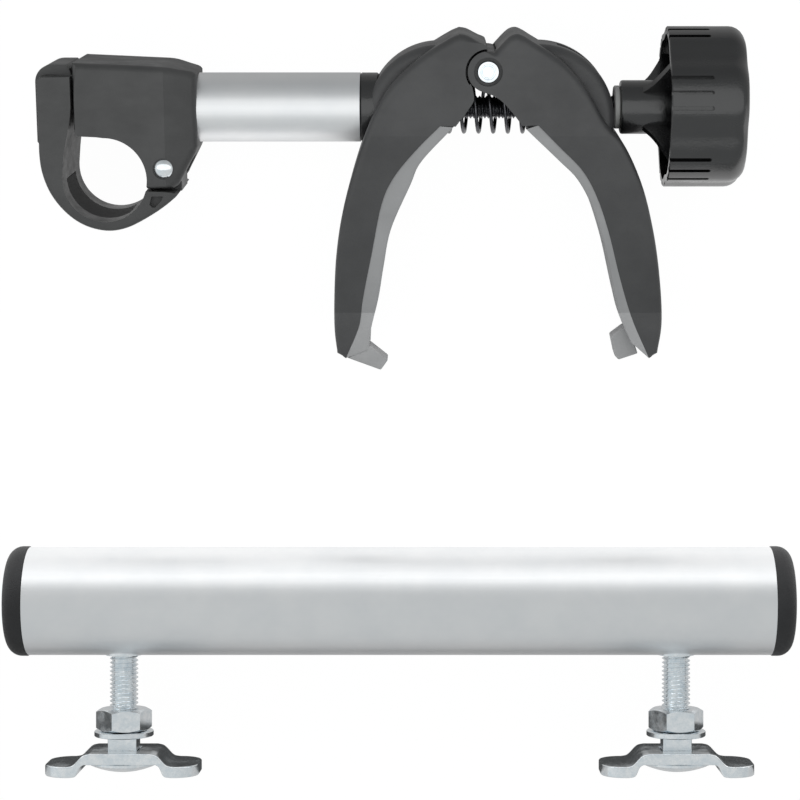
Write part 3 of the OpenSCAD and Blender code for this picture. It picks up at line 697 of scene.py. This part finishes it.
def track_plate(name, place):
    """A pressed plate with a raised middle, round corners and a square hole for the neck."""
    mid, step = 12.0, PLATE_RISE + 0.5
    low, high = -(PLATE_UNDER + PLATE_RISE), -PLATE_TOP
    top = flow([(-mid - step - 1.6, low + PLATE_T), (-mid - step + 0.6, low + PLATE_T + 0.5),
                (-mid - 0.8, high - 0.6), (-mid + 1.4, high)], 5)
    belly = flow([(-mid - step - 0.6, low), (-mid - step + 1.6, low + 0.5), (-mid - 1.6, -PLATE_UNDER - 0.7),
                  (-mid - 0.5, -PLATE_UNDER)], 5)
    outline = ([(-PLATE_HALF, low)] + belly + [(-x, y) for x, y in reversed(belly)]
               + [(PLATE_HALF, low), (PLATE_HALF, low + PLATE_T)] + [(-x, y) for x, y in top]
               + top[::-1] + [(-PLATE_HALF, low + PLATE_T)])
    plate = solid(slab(outline, PLATE_W / 2), place)
    r = PLATE_CORNER
    x, y = PLATE_HALF - r, PLATE_W / 2 - r
    plan = (arc(x, y, r, 0, 90, 8) + arc(-x, y, r, 90, 180, 8)
            + arc(-x, -y, r, 180, 270, 8) + arc(x, -y, r, 270, 360, 8))
    plate = boolean(plate, [solid(slab(plan, 80), place @ DOWN_Y)], "INTERSECT")
    plate = boolean(plate, [solid(slab(square(NECK / 2 + 0.2), 80), place @ DOWN_Y)])
    rounding = plate.modifiers.new("rounding", "BEVEL")
    rounding.width = 0.55
    rounding.segments = 3
    rounding.limit_method = "ANGLE"
    rounding.angle_limit = math.radians(50)
    plate = smooth(baked(plate), 40)
    dress(plate, name + "_track_plate_pressed", "zinc", name + "_foot", name + "_track_plate")


def foot(name, turn):
    """The pieces of one foot, with its nut turned by an angle in degrees."""
    place = bar_frame(name) @ DOWN_Y
    foot_bolt(name, place)
    foot_washer(name, place)
    foot_nut(name, place, turn)
    track_plate(name, bar_frame(name))


foot("left", -12)
foot("right", -5)


# Ring clamp: housing, hook, rivet and latch

RIVET = (RING_R + 5.8, 3.9 - RING_DROP)
HOUSE_TOP = 17.0
TAPER_X = 21.0
HOUSE_END = 31.4
END_HALF = 13.0
TOP_SLOPE = 1.4
HOUSE_LEFT = -10
RING_HALF = RING_W / 2
BLOCK_LEFT = -22.2
LATCH_PIN = (-17.8, 7.8)
LEVER_HALF = 14.0
CHANNEL_HALF = 14.4
TONGUE_HALF = 9.0
FORK_HALF = 9.35
AT_RIVET = ARM @ Matrix.Translation((*RIVET, 0))


def ring_arc(start, end, steps, r=RING_R):
    return arc(0, -RING_DROP, r, start, end, steps)


def housing():
    """The housing: a rounded block that narrows behind the ring, with the tube's and the hook's seats."""
    slope = TOP_SLOPE / (TAPER_X - HOUSE_LEFT)
    ridge = [(x / 2, HOUSE_TOP - slope * (x / 2 - HOUSE_LEFT)) for x in range(2 * HOUSE_LEFT, 39)]
    top = flow([(19.5, HOUSE_TOP - TOP_SLOPE + 0.07), (22.5, HOUSE_TOP - TOP_SLOPE - 0.3), (27, 14.2),
                (30.6, 13.2), (HOUSE_END, 12.4)], 5)
    back = flow([(HOUSE_END, -12.4), (30.6, -14.4), (28.2, -19), (26.3, -22.6), (25, -25), (23.2, -26.1)], 5)
    outline = (ridge + top + back + [(RING_R, -26.1)]
               + ring_arc(-12.5, 90, 30) + [(-2.5, -8.2), (-7, -8)] + arc(-7.4, -5.4, 2.6, 250, 185, 4))
    bm = rounded_slab(outline, RING_HALF, 2.6, ridge[2:] + top[:-3] + back[4:], 6, 0.9)
    crease(bm, (TAPER_X, 0, 0), (1, 0, 0))
    for vert in bm.verts:
        over = max(vert.co.x - TAPER_X, 0) / (HOUSE_END - TAPER_X)
        vert.co.z *= 1 - over * (1 - END_HALF / RING_HALF)
    body = solid(bm, ARM)
    cuts = [drill(TUBE_R, 14, 60)]
    knuckle = arc(*RIVET, 5.45, 0, 360, 40)
    fork = [(RIVET[0] + x, RIVET[1] + y) for x, y in
            [(2.8, 5.4), (12.5, 0.4), (30, 0.4), (30, -12), (-5.5, -12), (-5.5, 0)]]
    cuts += [solid(slab(shape, FORK_HALF), ARM) for shape in (knuckle, fork)]
    cuts.append(bore(TIGHT_BORE, AT_RIVET))
    cuts += sinks(3.65, RING_HALF, 0.5, AT_RIVET, 48)
    x = HOUSE_LEFT
    catch = [(x - 1, 8), (x + 4.6, 8), (x + 4.6, 13.7), (x + 1.6, 13.7), (x + 1.3, 12.7), (x - 1, 12.7)]
    cuts.append(solid(slab(catch, 14.5), ARM))
    body = boolean(body, cuts)
    dress(smooth(body, flat=MOULD_FLAT), "clamp_housing_moulded", "housing_plastic", "arm", "clamp_housing")


def hook():
    """The hook with the lever's channel and the liner's seat, and the liner in it."""
    left, top, inside = BLOCK_LEFT, 12.3, -10.8
    outer = flow([(left, 4), (left, -2), (left, -8), (left, -15), (-21.5, -20.5), (-19.2, -27),
                  (-15.4, -32.6), (-10.4, -37.1), (-5, -39.7), (1.2, -40.7), (7.2, -39.6),
                  (14.6, -35.9), (20.5, -32), (24.2, -28.9), (25.9, -26.9)], 6)
    outline = ([(left + 1.2, top), (left, top - 1.2)] + outer + [(14.1, -26.9)] + ring_arc(-15.6, -181, 40)
               + flow([(-14.5, -22), (-13.7, -14), (-12.8, -9.2), (-11.4, -3), (inside, 2)], 5)
               + [(inside, top)])
    body = solid(rounded_slab(outline, RING_HALF, 1.1, outer[:-10], 4), ARM)
    knuckle = slab(arc(*RIVET, 5.1, 0, 360, 48), TONGUE_HALF)
    neck = [(RIVET[0] + x, RIVET[1] + y) for x, y in [(-5.05, 0), (-4.9, -8.6), (5.05, -9), (5.05, 0)]]
    body = boolean(body, [solid(knuckle, ARM), solid(slab(neck, TONGUE_HALF), ARM)], "UNION")
    pocket = slab([(16, -28.6), (20, -28.6), (19.4, -30), (17.2, -32.4), (16.2, -32.5), (15.2, -31.4)], 2)
    bmesh.ops.translate(pocket, verts=pocket.verts, vec=(0, 0, RING_HALF))
    channel = [(left - 1, 8.6), (-5, 8.6), (-5, 20), (left - 1, 20)]
    corner = [(left - 1, -6.2), (left + 0.1, -6.2), (left + 0.1, 4.3), (LATCH_PIN[0], 8.6), (-16.8, 20),
              (left - 1, 20)]
    seat = ring_arc(183, 300, 40, RING_R + 1.62) + ring_arc(300, 183, 40, RING_R - 1)
    cuts = [bore(LOOSE_BORE, AT_RIVET), solid(pocket, ARM)]
    for outline in (channel, corner, arc(*LATCH_PIN, 2.9, 0, 360, 32)):
        cuts.append(solid(slab(outline, CHANNEL_HALF), ARM))
    cuts.append(solid(slab(seat, 10.02), ARM))
    body = boolean(body, cuts)
    dress(smooth(body, flat=MOULD_FLAT), "clamp_hook_moulded", "housing_plastic", "hook", "clamp_hook")
    liner = slab(ring_arc(184, 299, 40, RING_R + 1.58) + ring_arc(299, 184, 40, RING_R + 0.02), 9.9)
    round_rim(liner, 0.3)
    dress(smooth(solid(liner, ARM)), "hook_liner_strip", "liner_rubber", "hook", "hook_liner")


def rivet():
    """A shaft with a domed head in the sink of each side."""
    shaft, head = 2.46, 3.2
    upper = [(shaft, RING_HALF - 0.4), (head, RING_HALF - 0.4)] + dome(head, 1.5, RING_HALF - 0.2)
    profile = [(r, -z) for r, z in reversed(upper)] + upper
    piece = smooth(solid(lathe(profile, 48), AT_RIVET), 40)
    dress(piece, "hook_hinge_rivet_domed", "zinc", "arm", "hook_hinge_rivet")


def latch():
    """The lever: a curled plate with a lip, and an ear around its pin."""
    left, out = BLOCK_LEFT, -23.5
    outline = ([(out, -10.4), (out + 0.5, -11.1), (left - 0.15, -10.6), (left - 0.1, 6)]
               + flow([(left + 0.1, 8), (left + 1.2, 10.8), (-19.5, 12.3), (-17.3, 12.5)], 4)
               + [(-10.6, 10.6), (-6.65, 10.5), (-6.6, 13.2), (-7.2, 13.2), (-8.2, 12.4), (-11, 12.4),
                  (-11.6, 14.6), (-12.8, 16)]
               + arc(out + 6, 10, 6, 90, 180, 12))
    bm = slab(outline, LEVER_HALF)
    round_rim(bm, 0.3)
    body = solid(bm, ARM)
    x, y = LATCH_PIN
    ear = slab(arc(x, y, 2.6, 0, 360, 32), LEVER_HALF - 0.1)
    web = slab([(x - 1.6, y + 1.9), (x + 1.6, y + 1.9), (x + 1.6, 13), (x - 1.6, 13)], LEVER_HALF - 0.1)
    body = boolean(body, [solid(ear, ARM), solid(web, ARM)], "UNION")
    body = boolean(body, [solid(cylinder(1.58, -20, 20, 24), ARM @ Matrix.Translation((x, y, 0)))])
    dress(smooth(body), "latch_lever_moulded", "housing_plastic", "latch", "latch_lever")


housing()
hook()
rivet()
latch()


# Claws, given from the hinge pin

KNUCKLE = 7.0
KNUCKLE_CLEAR = 0.8
CLAW_RIM = 1.8
EAR_HALF = 11.2
EAR_CLEAR = 0.4
SHOULDER_HALF = 12.5
SHOULDER_ROUND = 3.4


def outward(points, stay, side):
    """The inner ones of these points, moved out but for those that stay."""
    out = []
    for i in range(1, len(points) - 1):
        way = (Vector(points[i + 1]) - Vector(points[i - 1])).normalized()
        shift = 0 if i in stay else CLAW_RIM * side
        out.append((points[i][0] + shift * way.y, points[i][1] - shift * way.x))
    return out


LEFT_BACK = [(-8.8, 11.4), (-23.2, 2.6), (-31.6, -5.4), (-37.3, -14.4), (-43.9, -32), (-48.5, -49),
             (-50.9, -64.1), (-51.9, -80.9), (-51.9, -92), (-51.1, -99.8)]
LEFT_SEAM = [(-49.8, -101.9), (-44.9, -89.6), (-43.7, -80.9), (-40.4, -64.1), (-36.1, -43.9),
             (-32.1, -35.9), (-23.8, -25.8), (-16.5, -18.5)]
RIGHT_BACK = [(9.2, 11.4), (24.6, 1.7), (32.4, -7.4), (40.7, -17.9), (46.4, -24.4), (51.5, -39.2),
              (56, -55.6), (58.8, -72.7), (60, -89.6), (58.8, -99.8)]
RIGHT_SEAM = [(57.6, -101.9), (51.1, -87.1), (46.6, -72.7), (42.1, -55.6), (37.8, -43.3),
              (32.8, -34.2), (24.7, -25.8), (17.2, -18.2)]
LEFT_PAD_IN = [(-11.8, -18.9), (-23.8, -32.3), (-26.3, -38.3), (-33.7, -55.5), (-36.2, -68.3),
               (-38.1, -79.8), (-41.1, -92.8), (-41.5, -98.6)]
RIGHT_PAD_IN = [(13, -19.6), (25.6, -31.7), (30.5, -36.6), (35.4, -45), (40.5, -59.8), (45, -79.1),
                (47.3, -87.8), (51, -96)]
LEFT_OUTER = outward([(0.4, KNUCKLE + 1.4)] + LEFT_BACK + LEFT_SEAM[:1], (), 1)
RIGHT_OUTER = outward([(-0.2, KNUCKLE)] + RIGHT_BACK + RIGHT_SEAM[:1], (4, 5), -1)
TAPER_TOP = -8.0
AT_PIN = ARM @ Matrix.Translation((PIN_X, PIN_Y, 0))


def half_width(y):
    """Half the claws' width at a height over the pin."""
    down = min(max((TAPER_TOP - (y + PIN_Y)) / (TIP_DROP + TAPER_TOP), 0), 1.2)
    return (CLAW_W - (CLAW_W - TIP_W) * down) / 2


def claw_body(outline, rim):
    """A claw's slab with its rim rounded, narrower towards the tip."""
    bm = rounded_slab(outline, CLAW_W / 2, 2.6, rim, 7)
    crease(bm, (0, TAPER_TOP - PIN_Y, 0), (0, 1, 0))
    for vert in bm.verts:
        vert.co.z *= half_width(vert.co.y) / (CLAW_W / 2)
    return solid(bm, AT_PIN)


def left_claw():
    top = flow([(0.4, 8.4), (-4.2, 10.7), (-7.4, 12.3), (-9.8, 12.7)], 4)
    outer = flow([(-9.8, 12.7), (-12.8, 11.4)] + LEFT_OUTER[1:], 7)
    outer += flow([LEFT_OUTER[-1], (-50.6, -101.4), LEFT_SEAM[0]], 4)
    socket = arc(0, 0, KNUCKLE + KNUCKLE_CLEAR, 214, 92, 18)
    inner = flow(LEFT_SEAM, 7) + [(-15.6, -18.4), (-11.1, -18.6)]
    inner += flow([(-11.1, -18.6), (-6.2, -12), (-4.9, -9.6), (-5.2, -6.4), (-6, -4)], 4)
    outline = top + outer + inner + socket
    body = claw_body(outline, top[6:] + outer[:-9])
    rim = arc(-16.7, -16.4, 25, 72, 207, 50)
    shoulder = rim + [(-27, -27.4), (-24, -25.4), (-16.7, -18.1), (-9, -10)]
    shoulder = rounded_slab(shoulder, SHOULDER_HALF, SHOULDER_ROUND, rim)
    body = boolean(body, [solid(shoulder, AT_PIN)], "UNION")
    ears = slab(arc(0, 0, KNUCKLE, 0, 360, 48), EAR_HALF)
    neck = slab([(-14, -2), (0, -2), (0, 6.5), (-14, 6.5)], EAR_HALF)
    body = boolean(body, [solid(ears, AT_PIN), solid(neck, AT_PIN)], "UNION")
    cuts = [drill(TUBE_R + 0.3, 60, COLLAR_END),
            drill(9.08, 80, COLLAR_END + 9.8),
            drill(ROD_R + 0.1, 80, SEAT_LEFT + 2),
            drill(SPRING_R + 1, SEAT_LEFT, PIN_X + 30),
            bore(TIGHT_BORE, AT_PIN)]
    body = boolean(body, cuts)
    dress(smooth(body, flat=MOULD_FLAT), "left_claw_moulded", "claw_plastic", "head", "left_claw")


def right_claw():
    top = flow([(2.2, 6.7), (5.6, 10.4), (7.8, 12.2), (10.2, 12.7), (12.8, 11.6)], 4)
    outer = flow([(12.8, 11.6)] + RIGHT_OUTER[1:], 7)
    outer += flow([RIGHT_OUTER[-1], (58.4, -101.4), RIGHT_SEAM[0]], 4)
    inner = flow(RIGHT_SEAM, 7) + [(15.8, -18.2), (11.8, -18.4)]
    under = flow([(11.8, -18.4), (8.4, -14), (4.6, -9.9), (1.4, -7.9), (-1.5, -6.95)], 4)
    knuckle = arc(0, 0, KNUCKLE, 255, 72, 26)
    outline = top + outer + inner + under + knuckle
    body = claw_body(outline, top + outer[:-9])
    rim = arc(17.6, -17.4, 26.2, -34.7, 94.8, 50)
    shoulder = rounded_slab(rim + [(16, -8), (30, -26)], SHOULDER_HALF, SHOULDER_ROUND, rim)
    body = boolean(body, [solid(shoulder, AT_PIN)], "UNION")
    close = math.radians(40)
    low, high, far = PIN_Y + 4.5, PIN_Y - 4.5, 80
    sweep = [(-30, -low), (far, -low), (far, -high),
             (high * math.sin(close) + far * math.cos(close),
              -high * math.cos(close) + far * math.sin(close)),
             (high * math.sin(close), -high * math.cos(close)), (0, -high), (-30, -high)]
    seat = SEAT_LEFT + SPRING_LEN + 0.3 - PIN_X
    cavity = [(-8, -30), (seat, -26), (seat, -8), (seat - 4, -0.5), (10.5, 3.6), (7, 0), (0, 0)]
    cuts = [solid(slab(sweep, ROD_R + 0.6), AT_PIN), solid(slab(cavity, SPRING_R + 1), AT_PIN),
            solid(slab(arc(0, 0, KNUCKLE + KNUCKLE_CLEAR, 0, 360, 48), EAR_HALF + EAR_CLEAR), AT_PIN),
            solid(slab([(-16, 20), (-16, -20), (0, -20), (0, 8), (2, 20)], EAR_HALF + EAR_CLEAR), AT_PIN),
            bore(LOOSE_BORE, AT_PIN)]
    cuts += sinks(4.9, CLAW_W / 2, 1.5, AT_PIN, 56)
    body = boolean(body, cuts)
    dress(smooth(body, flat=MOULD_FLAT), "right_claw_moulded", "claw_plastic", "closing_claw",
          "right_claw")


def hinge_pin():
    top = CLAW_W / 2 - 1.4
    side = [(2.5, top), (3.55, top + 0.02), (3.75, top + 0.25), (3.75, top + 1.4), (3.5, top + 1.75),
            (2.7, top + 1.85), (2.45, top + 1.2), (2.2, top + 1.15), (1.9, top + 1.7), (0, top + 1.75)]
    profile = [(r, -z) for r, z in reversed(side)] + side
    piece = smooth(solid(lathe(profile, 56), AT_PIN), 40)
    dress(piece, "claw_hinge_pin_turned", "zinc", "head", "claw_hinge_pin")


def along(path, share):
    """The point at a share of a path's length."""
    lengths = [0.0]
    for a, b in zip(path, path[1:]):
        lengths.append(lengths[-1] + (Vector(b) - Vector(a)).length)
    target = share * lengths[-1]
    for i in range(len(path) - 1):
        if lengths[i + 1] >= target - 1e-9:
            part = (target - lengths[i]) / max(lengths[i + 1] - lengths[i], 1e-9)
            return Vector(path[i]).lerp(Vector(path[i + 1]), part)
    return Vector(path[-1])


def pad(name, face, back, body, replaced, lug):
    """Rubber pad: a loft along the claw's inner face, with ribs along its length inside, and a lug."""
    stations, ribs, depth = 44, 9, 0.9
    outer = flow(back, 12)
    inner = flow(face, 12)
    bm = bmesh.new()
    sections = []
    for k in range(stations + 1):
        a, b = along(outer, k / stations), along(inner, k / stations)
        way = (b - a).normalized()
        half = half_width((a.y + b.y) / 2) - 0.3
        section = [(a, -half), (b - way * 1.0, -half), (b - way * 0.25, -half + 0.3)]
        inset = half - 1.2
        for i in range(ribs):
            left = -inset + 2 * inset * i / ribs
            right = -inset + 2 * inset * (i + 1) / ribs
            gap = (right - left) * 0.18
            section += [(b, left + gap), (b, right - gap)]
            if i < ribs - 1:
                section += [(b - way * depth, right - gap * 0.6), (b - way * depth, right + gap * 0.6)]
        section += [(b - way * 0.25, half - 0.3), (b - way * 1.0, half), (a, half)]
        sections.append([bm.verts.new((p.x, p.y, z)) for p, z in section])
    loft(bm, sections)
    piece = solid(bm, AT_PIN)
    outline, low, high = lug
    block = slab(outline, (high - low) / 2)
    bmesh.ops.translate(block, verts=block.verts, vec=(0, 0, (low + high) / 2))
    bmesh.ops.bevel(block, geom=block.edges[:], offset=0.45, segments=2, affect="EDGES", profile=0.5)
    piece = boolean(piece, [solid(block, AT_PIN)], "UNION")
    piece = boolean(piece, [drill(SPRING_R + 1, SEAT_LEFT, PIN_X + 30)])
    dress(smooth(piece, 30), name, "pad_rubber", body, replaced)


left_claw()
right_claw()
hinge_pin()
pad("left_claw_pad_ribbed", LEFT_PAD_IN, LEFT_SEAM[::-1], "head", "left_claw_pad",
    ([(-49.3, -101.9), (-41.3, -97.4), (-34.9, -102.6), (-37.5, -106.3)], -0.5, 8.2))
pad("right_claw_pad_ribbed", RIGHT_PAD_IN, RIGHT_SEAM[::-1], "closing_claw", "right_claw_pad",
    ([(48.9, -91.6), (44.2, -95.2), (45.7, -101.9), (47.2, -103.5), (54, -101.2), (51.5, -94)], -4, 4))


# Swivel, rod, spring and thrust washer

def turned(name, bm, slot, body, replaced):
    dress(smooth(solid(bm, ARM @ X_AXIS), 40), name, slot, body, replaced)


turned("tube_collar_moulded", lathe([
    (4.08, TUBE_END - 14), (10.4, TUBE_END - 14), (10.42, TUBE_END + 0.15), (11.6, TUBE_END + 0.16),
    (12, TUBE_END + 0.6), (12, COLLAR_END - 0.7), (11.4, COLLAR_END - 0.02), (9, COLLAR_END),
    (9, COLLAR_END + 9.2), (8.7, COLLAR_END + 9.5), (4.08, COLLAR_END + 9.5)], 96),
    "black_plastic", "head", "tube_collar")
turned("thrust_washer_turned", bushing(7.5, ROD_R + 0.1, THRUST_X, THRUST_X + THRUST_T, 0.4, 72),
       "washer_nylon", "thrust", "thrust_washer")

rod = solid(thread(ROD_R, ROD_PITCH, ROD_START, ROD_END, 0.65, 28, 8), ARM @ X_AXIS)
rod_head = solid(slab(hexagon(7.5), 2.5), ARM @ X_AXIS @ Matrix.Translation((0, 0, ROD_START - 1.6)))
rod = boolean(rod, [rod_head], "UNION")
dress(smooth(rod, 40), "clamp_rod_threaded", "spring_steel", "head", "clamp_rod")


def spring():
    """A round wire along a helix, drawn on a little past both ends."""
    turns, steps, sides = SPRING_TURNS, 32, 10
    coil = SPRING_R - WIRE_R
    pitch = (SPRING_LEN - 4 * WIRE_R) / turns
    bm = bmesh.new()
    rings = []
    count = int(turns * steps)
    for i in range(-1, count + 2):
        t = min(max(i, 0), count) / steps
        over = -1 if i < 0 else 1 if i > count else 0
        a = TURN * t + math.radians(SPRING_PHASE)
        centre = Vector((SEAT_LEFT + 2 * WIRE_R + pitch * t, coil * math.cos(a), coil * math.sin(a)))
        way = Vector((pitch, -coil * TURN * math.sin(a), coil * TURN * math.cos(a))).normalized()
        inward = Vector((0, -math.cos(a), -math.sin(a)))
        side = way.cross(inward)
        centre += over * 2 * WIRE_R * way
        ring = []
        for s in range(sides):
            across = math.cos(TURN * s / sides) * inward + math.sin(TURN * s / sides) * side
            ring.append(bm.verts.new(centre + WIRE_R * across))
        rings.append(ring)
    loft(bm, rings)
    piece = smooth(solid(bm, ARM), 60)
    dress(piece, "claw_spring_wire", "spring_steel", "head", "claw_spring")
    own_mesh(piece)


spring()


# Knob

GRIP_X = HUB_X + HUB_LEN


def lobed(bm, x, inset, share=1.0):
    """A ring of vertices around the axis: broad lobes with shallow valleys, drawn in by the inset
    and then shrunk to a share."""
    steps = 240
    ring = []
    for i in range(steps):
        angle = 360 * i / steps
        a = math.radians(angle)
        wave = 0.5 + 0.5 * math.cos(math.radians(LOBES * (angle - LOBE_ANGLE)))
        r = (KNOB_R - VALLEY * share * (1 - wave) ** 2.2 - inset) * share
        ring.append(bm.verts.new((x, r * math.sin(a), r * math.cos(a))))
    return ring


def knob_shell():
    """The hollow cap: a lobed skirt, a round edge and a slightly domed face, with grooves in the lobes."""
    skirt, edge_r = KNOB_LEN - 7, 5.6
    stations = [(0.0, 0.35), (0.35, 0.0), (skirt, 0.0)]
    stations += [(skirt + edge_r * math.sin(math.radians(a)), edge_r * (1 - math.cos(math.radians(a))))
                 for a in (15, 30, 45, 60, 72)]
    bm = bmesh.new()
    outside = [lobed(bm, x, inset) for x, inset in stations]
    edge_x, edge_in = stations[-1]
    for k in range(1, 9):
        share = 1 - k / 9
        outside.append(lobed(bm, edge_x + (KNOB_LEN - edge_x) * (1 - share ** 2), edge_in, share))
    inside = [lobed(bm, x, KNOB_WALL) for x in (0.0, KNOB_LEN - 4.8)]
    loft(bm, inside[::-1] + outside)
    place = ARM @ Matrix.Translation((GRIP_X, 0, 0))
    shell = solid(bm, place)
    groove = ([(-2, -GROOVE_HALF), (GROOVE_LEN, -GROOVE_HALF)] + arc(GROOVE_LEN, 0, GROOVE_HALF, -90, 90, 6)
              + [(GROOVE_LEN, GROOVE_HALF), (-2, GROOVE_HALF)])
    lift = Matrix.Translation((0, 0, KNOB_R + 0.15))
    cuts = []
    for lobe in range(LOBES):
        for beside in (-1, 0, 1):
            turn = math.radians(360 * lobe / LOBES + LOBE_ANGLE + GROOVE_ANGLE * beside)
            cuts.append(solid(slab(groove, 2), place @ Matrix.Rotation(-turn, 4, "X") @ lift))
    shell = boolean(shell, cuts)
    dress(smooth(shell, 30), "knob_cap_fluted", "black_plastic", "knob", "knob_cap")


def knob_hub():
    """The hub with a plate in the cap's mouth and four webs between them."""
    hub = solid(lathe([(0, HUB_X), (HUB_R - 0.8, HUB_X), (HUB_R - 0.2, HUB_X + 0.25), (HUB_R, HUB_X + 0.9),
                      (HUB_R, GRIP_X + 14), (0, GRIP_X + 14)], 96), ARM @ X_AXIS)
    plate = bmesh.new()
    loft(plate, [lobed(plate, x, KNOB_WALL + 0.3) for x in (GRIP_X + 3, GRIP_X + 5.4)])
    parts = [solid(plate, ARM)]
    web_top = KNOB_R - 5.1
    web = flow([(HUB_X + 7.5, HUB_R), (HUB_X + 10.6, HUB_R + 3.6), (GRIP_X - 1.4, KNOB_R - 9),
                (GRIP_X + 0.5, web_top)], 5)
    web = [(HUB_X + 7.5, 0)] + web + [(GRIP_X + 4, web_top), (GRIP_X + 4, 0)]
    for angle in (45, 135, 225, 315):
        parts.append(solid(slab(web, 1.1), ARM @ Matrix.Rotation(math.radians(angle), 4, "X")))
    hub = boolean(hub, parts, "UNION")
    hub = boolean(hub, [drill(ROD_R + 0.25, HUB_X - 2, GRIP_X + 20, 40),
                        drill(6, GRIP_X - 2, GRIP_X + 20, 40)])
    dress(smooth(hub), "knob_body_moulded", "black_plastic", "knob", "knob_body")


knob_shell()
knob_hub()


# Solids that are kept as they are

for name, slot in (("bar_tube", "anodised"), ("arm_tube", "anodised"), ("left_tube_insert", "zinc"),
                   ("right_tube_insert", "zinc"), ("tube_plug", "black_plastic"), ("knob_insert", "brass"),
                   ("latch_pin", "zinc")):
    frame["nodes"][name].data.materials.clear()
    frame["nodes"][name].data.materials.append(MATERIALS[slot])


# Floor, light and camera

SKY_LOW = (0.62, 0.64, 0.645, 1)
SKY_HIGH = (0.36, 0.37, 0.375, 1)
SKY_LEFT = 1.1
SKY_RIGHT = 0.9
FLOOR_SEEN = 1.03
# Floor glow seen only in metal, by Y: painted reflections, brightest beside the bar and lower on both sides
FLOOR_LOW = 0.55
FLOOR_HIGH = 1.25
FLOOR_FAR = 0.35
# Painted shadow: a dark strip of the floor's mirror glow, where the track plates' tops mirror it
PAINTED_SHADOW_LEVEL = 0.04
PAINTED_SHADOW_Y = -0.1275
PAINTED_SHADOW_EDGE = (0.0078, 0.0092)
MIRROR_SHARE = 0.92
GLOW_SHARE = 0.95
OVER_ARM = 0.135
BESIDE_BAR = 0.19


def axes(tree, space):
    """Outputs X, Y and Z of the coordinates in a space."""
    parts = node(tree, "SeparateXYZ")
    tree.links.new(node(tree, "TexCoord").outputs[space], parts.inputs[0])
    return parts.outputs


def painted_floor_reflection(tree, y):
    """The floor's glow as metal mirrors it, which paints reflections: bright beside the bar and lower on both
    sides of the object, with one dark band of painted shadow.
    """
    # Painted reflection: the floor glows brightest for mirrors just beside the bar and dims away from it
    near = ramp(tree, y, FLOOR_LOW, FLOOR_HIGH, -0.1, -0.04)
    far = ramp(tree, y, 1, FLOOR_FAR, 0.04, 0.12)
    # Painted shadow: the strip that the track plates' tops mirror glows only faintly
    off_band = maths(tree, "ABSOLUTE", maths(tree, "SUBTRACT", y, PAINTED_SHADOW_Y))
    band = ramp(tree, off_band, PAINTED_SHADOW_LEVEL, 1, *PAINTED_SHADOW_EDGE)
    return maths(tree, "MULTIPLY", maths(tree, "MULTIPLY", near, far), band)


def stage():
    """A white floor that mostly glows for the camera and for mirrors and is matt for all other light."""
    bm = bmesh.new()
    bmesh.ops.create_grid(bm, x_segments=1, y_segments=1, size=3)
    floor = solid(bm, Matrix.Identity(4), "floor")
    material = bpy.data.materials.new("white_sweep")
    material.use_nodes = True
    tree = material.node_tree
    tree.nodes.clear()
    ray = node(tree, "LightPath")
    strength = node(tree, "Mix")
    strength.data_type = "FLOAT"
    strength.inputs[2].default_value = FLOOR_SEEN
    tree.links.new(ray.outputs["Is Glossy Ray"], strength.inputs[0])
    tree.links.new(painted_floor_reflection(tree, axes(tree, "Object")["Y"]), strength.inputs[3])
    mirrored = maths(tree, "MULTIPLY", ray.outputs["Is Glossy Ray"], MIRROR_SHARE)
    seen = maths(tree, "ADD", ray.outputs["Is Camera Ray"], mirrored, clamp=True)
    seen = maths(tree, "ADD", seen, ray.outputs["Is Transmission Ray"], clamp=True)
    matt = node(tree, "BsdfDiffuse", Color=(0.8, 0.8, 0.8, 1))
    glow = node(tree, "Emission")
    tree.links.new(strength.outputs[0], glow.inputs["Strength"])
    mix = node(tree, "MixShader")
    tree.links.new(maths(tree, "MULTIPLY", seen, GLOW_SHARE), mix.inputs["Fac"])
    tree.links.new(matt.outputs[0], mix.inputs[1])
    tree.links.new(glow.outputs[0], mix.inputs[2])
    out = node(tree, "OutputMaterial")
    tree.links.new(mix.outputs[0], out.inputs["Surface"])
    floor.data.materials.append(material)


def lamp(name, place, aim, size, power):
    data = bpy.data.lights.new(name, "AREA")
    data.shape = "RECTANGLE"
    data.size, data.size_y = size
    data.energy = power
    obj = bpy.data.objects.new(name, data)
    obj.location = place
    obj.rotation_euler = (Vector(aim) - Vector(place)).to_track_quat("-Z", "Y").to_euler()
    obj.visible_camera = False
    bpy.context.scene.collection.objects.link(obj)


def light():
    """A sky that dims towards +Y and towards +X, a low lamp over the arm and one beside the bar."""
    world = bpy.data.worlds.new("studio")
    world.use_nodes = True
    tree = world.node_tree
    place = axes(tree, "Generated")
    mix = node(tree, "Mix")
    mix.data_type = "RGBA"
    mix.inputs["A"].default_value = SKY_LOW
    mix.inputs["B"].default_value = SKY_HIGH
    tree.links.new(ramp(tree, place["Y"], 0, 1, 0.0, 1.0), mix.inputs["Factor"])
    tree.links.new(mix.outputs["Result"], tree.nodes["Background"].inputs["Color"])
    tree.links.new(ramp(tree, place["X"], SKY_LEFT, SKY_RIGHT, -1, 1),
                   tree.nodes["Background"].inputs["Strength"])
    bpy.context.scene.world = world
    lamp("over_arm", (0, 0.085, 0.14), (0, 0.085, 0), (0.7, 0.11), OVER_ARM)
    lamp("beside_bar", (0, 0.03, 0.075), (0, -1, 0.075), (0.7, 0.12), BESIDE_BAR)


def camera():
    data = bpy.data.cameras.new("camera")
    data.sensor_width = 36
    data.lens = FOCAL / IMAGE * data.sensor_width
    data.shift_x = -(PRINCIPAL[0] - IMAGE / 2) / IMAGE
    data.shift_y = (PRINCIPAL[1] - IMAGE / 2) / IMAGE
    data.clip_start = 0.01
    obj = bpy.data.objects.new("camera", data)
    obj.location = CAMERA
    bpy.context.scene.collection.objects.link(obj)
    bpy.context.scene.camera = obj


stage()
light()
camera()
bpy.context.scene.view_settings.view_transform = "Standard"
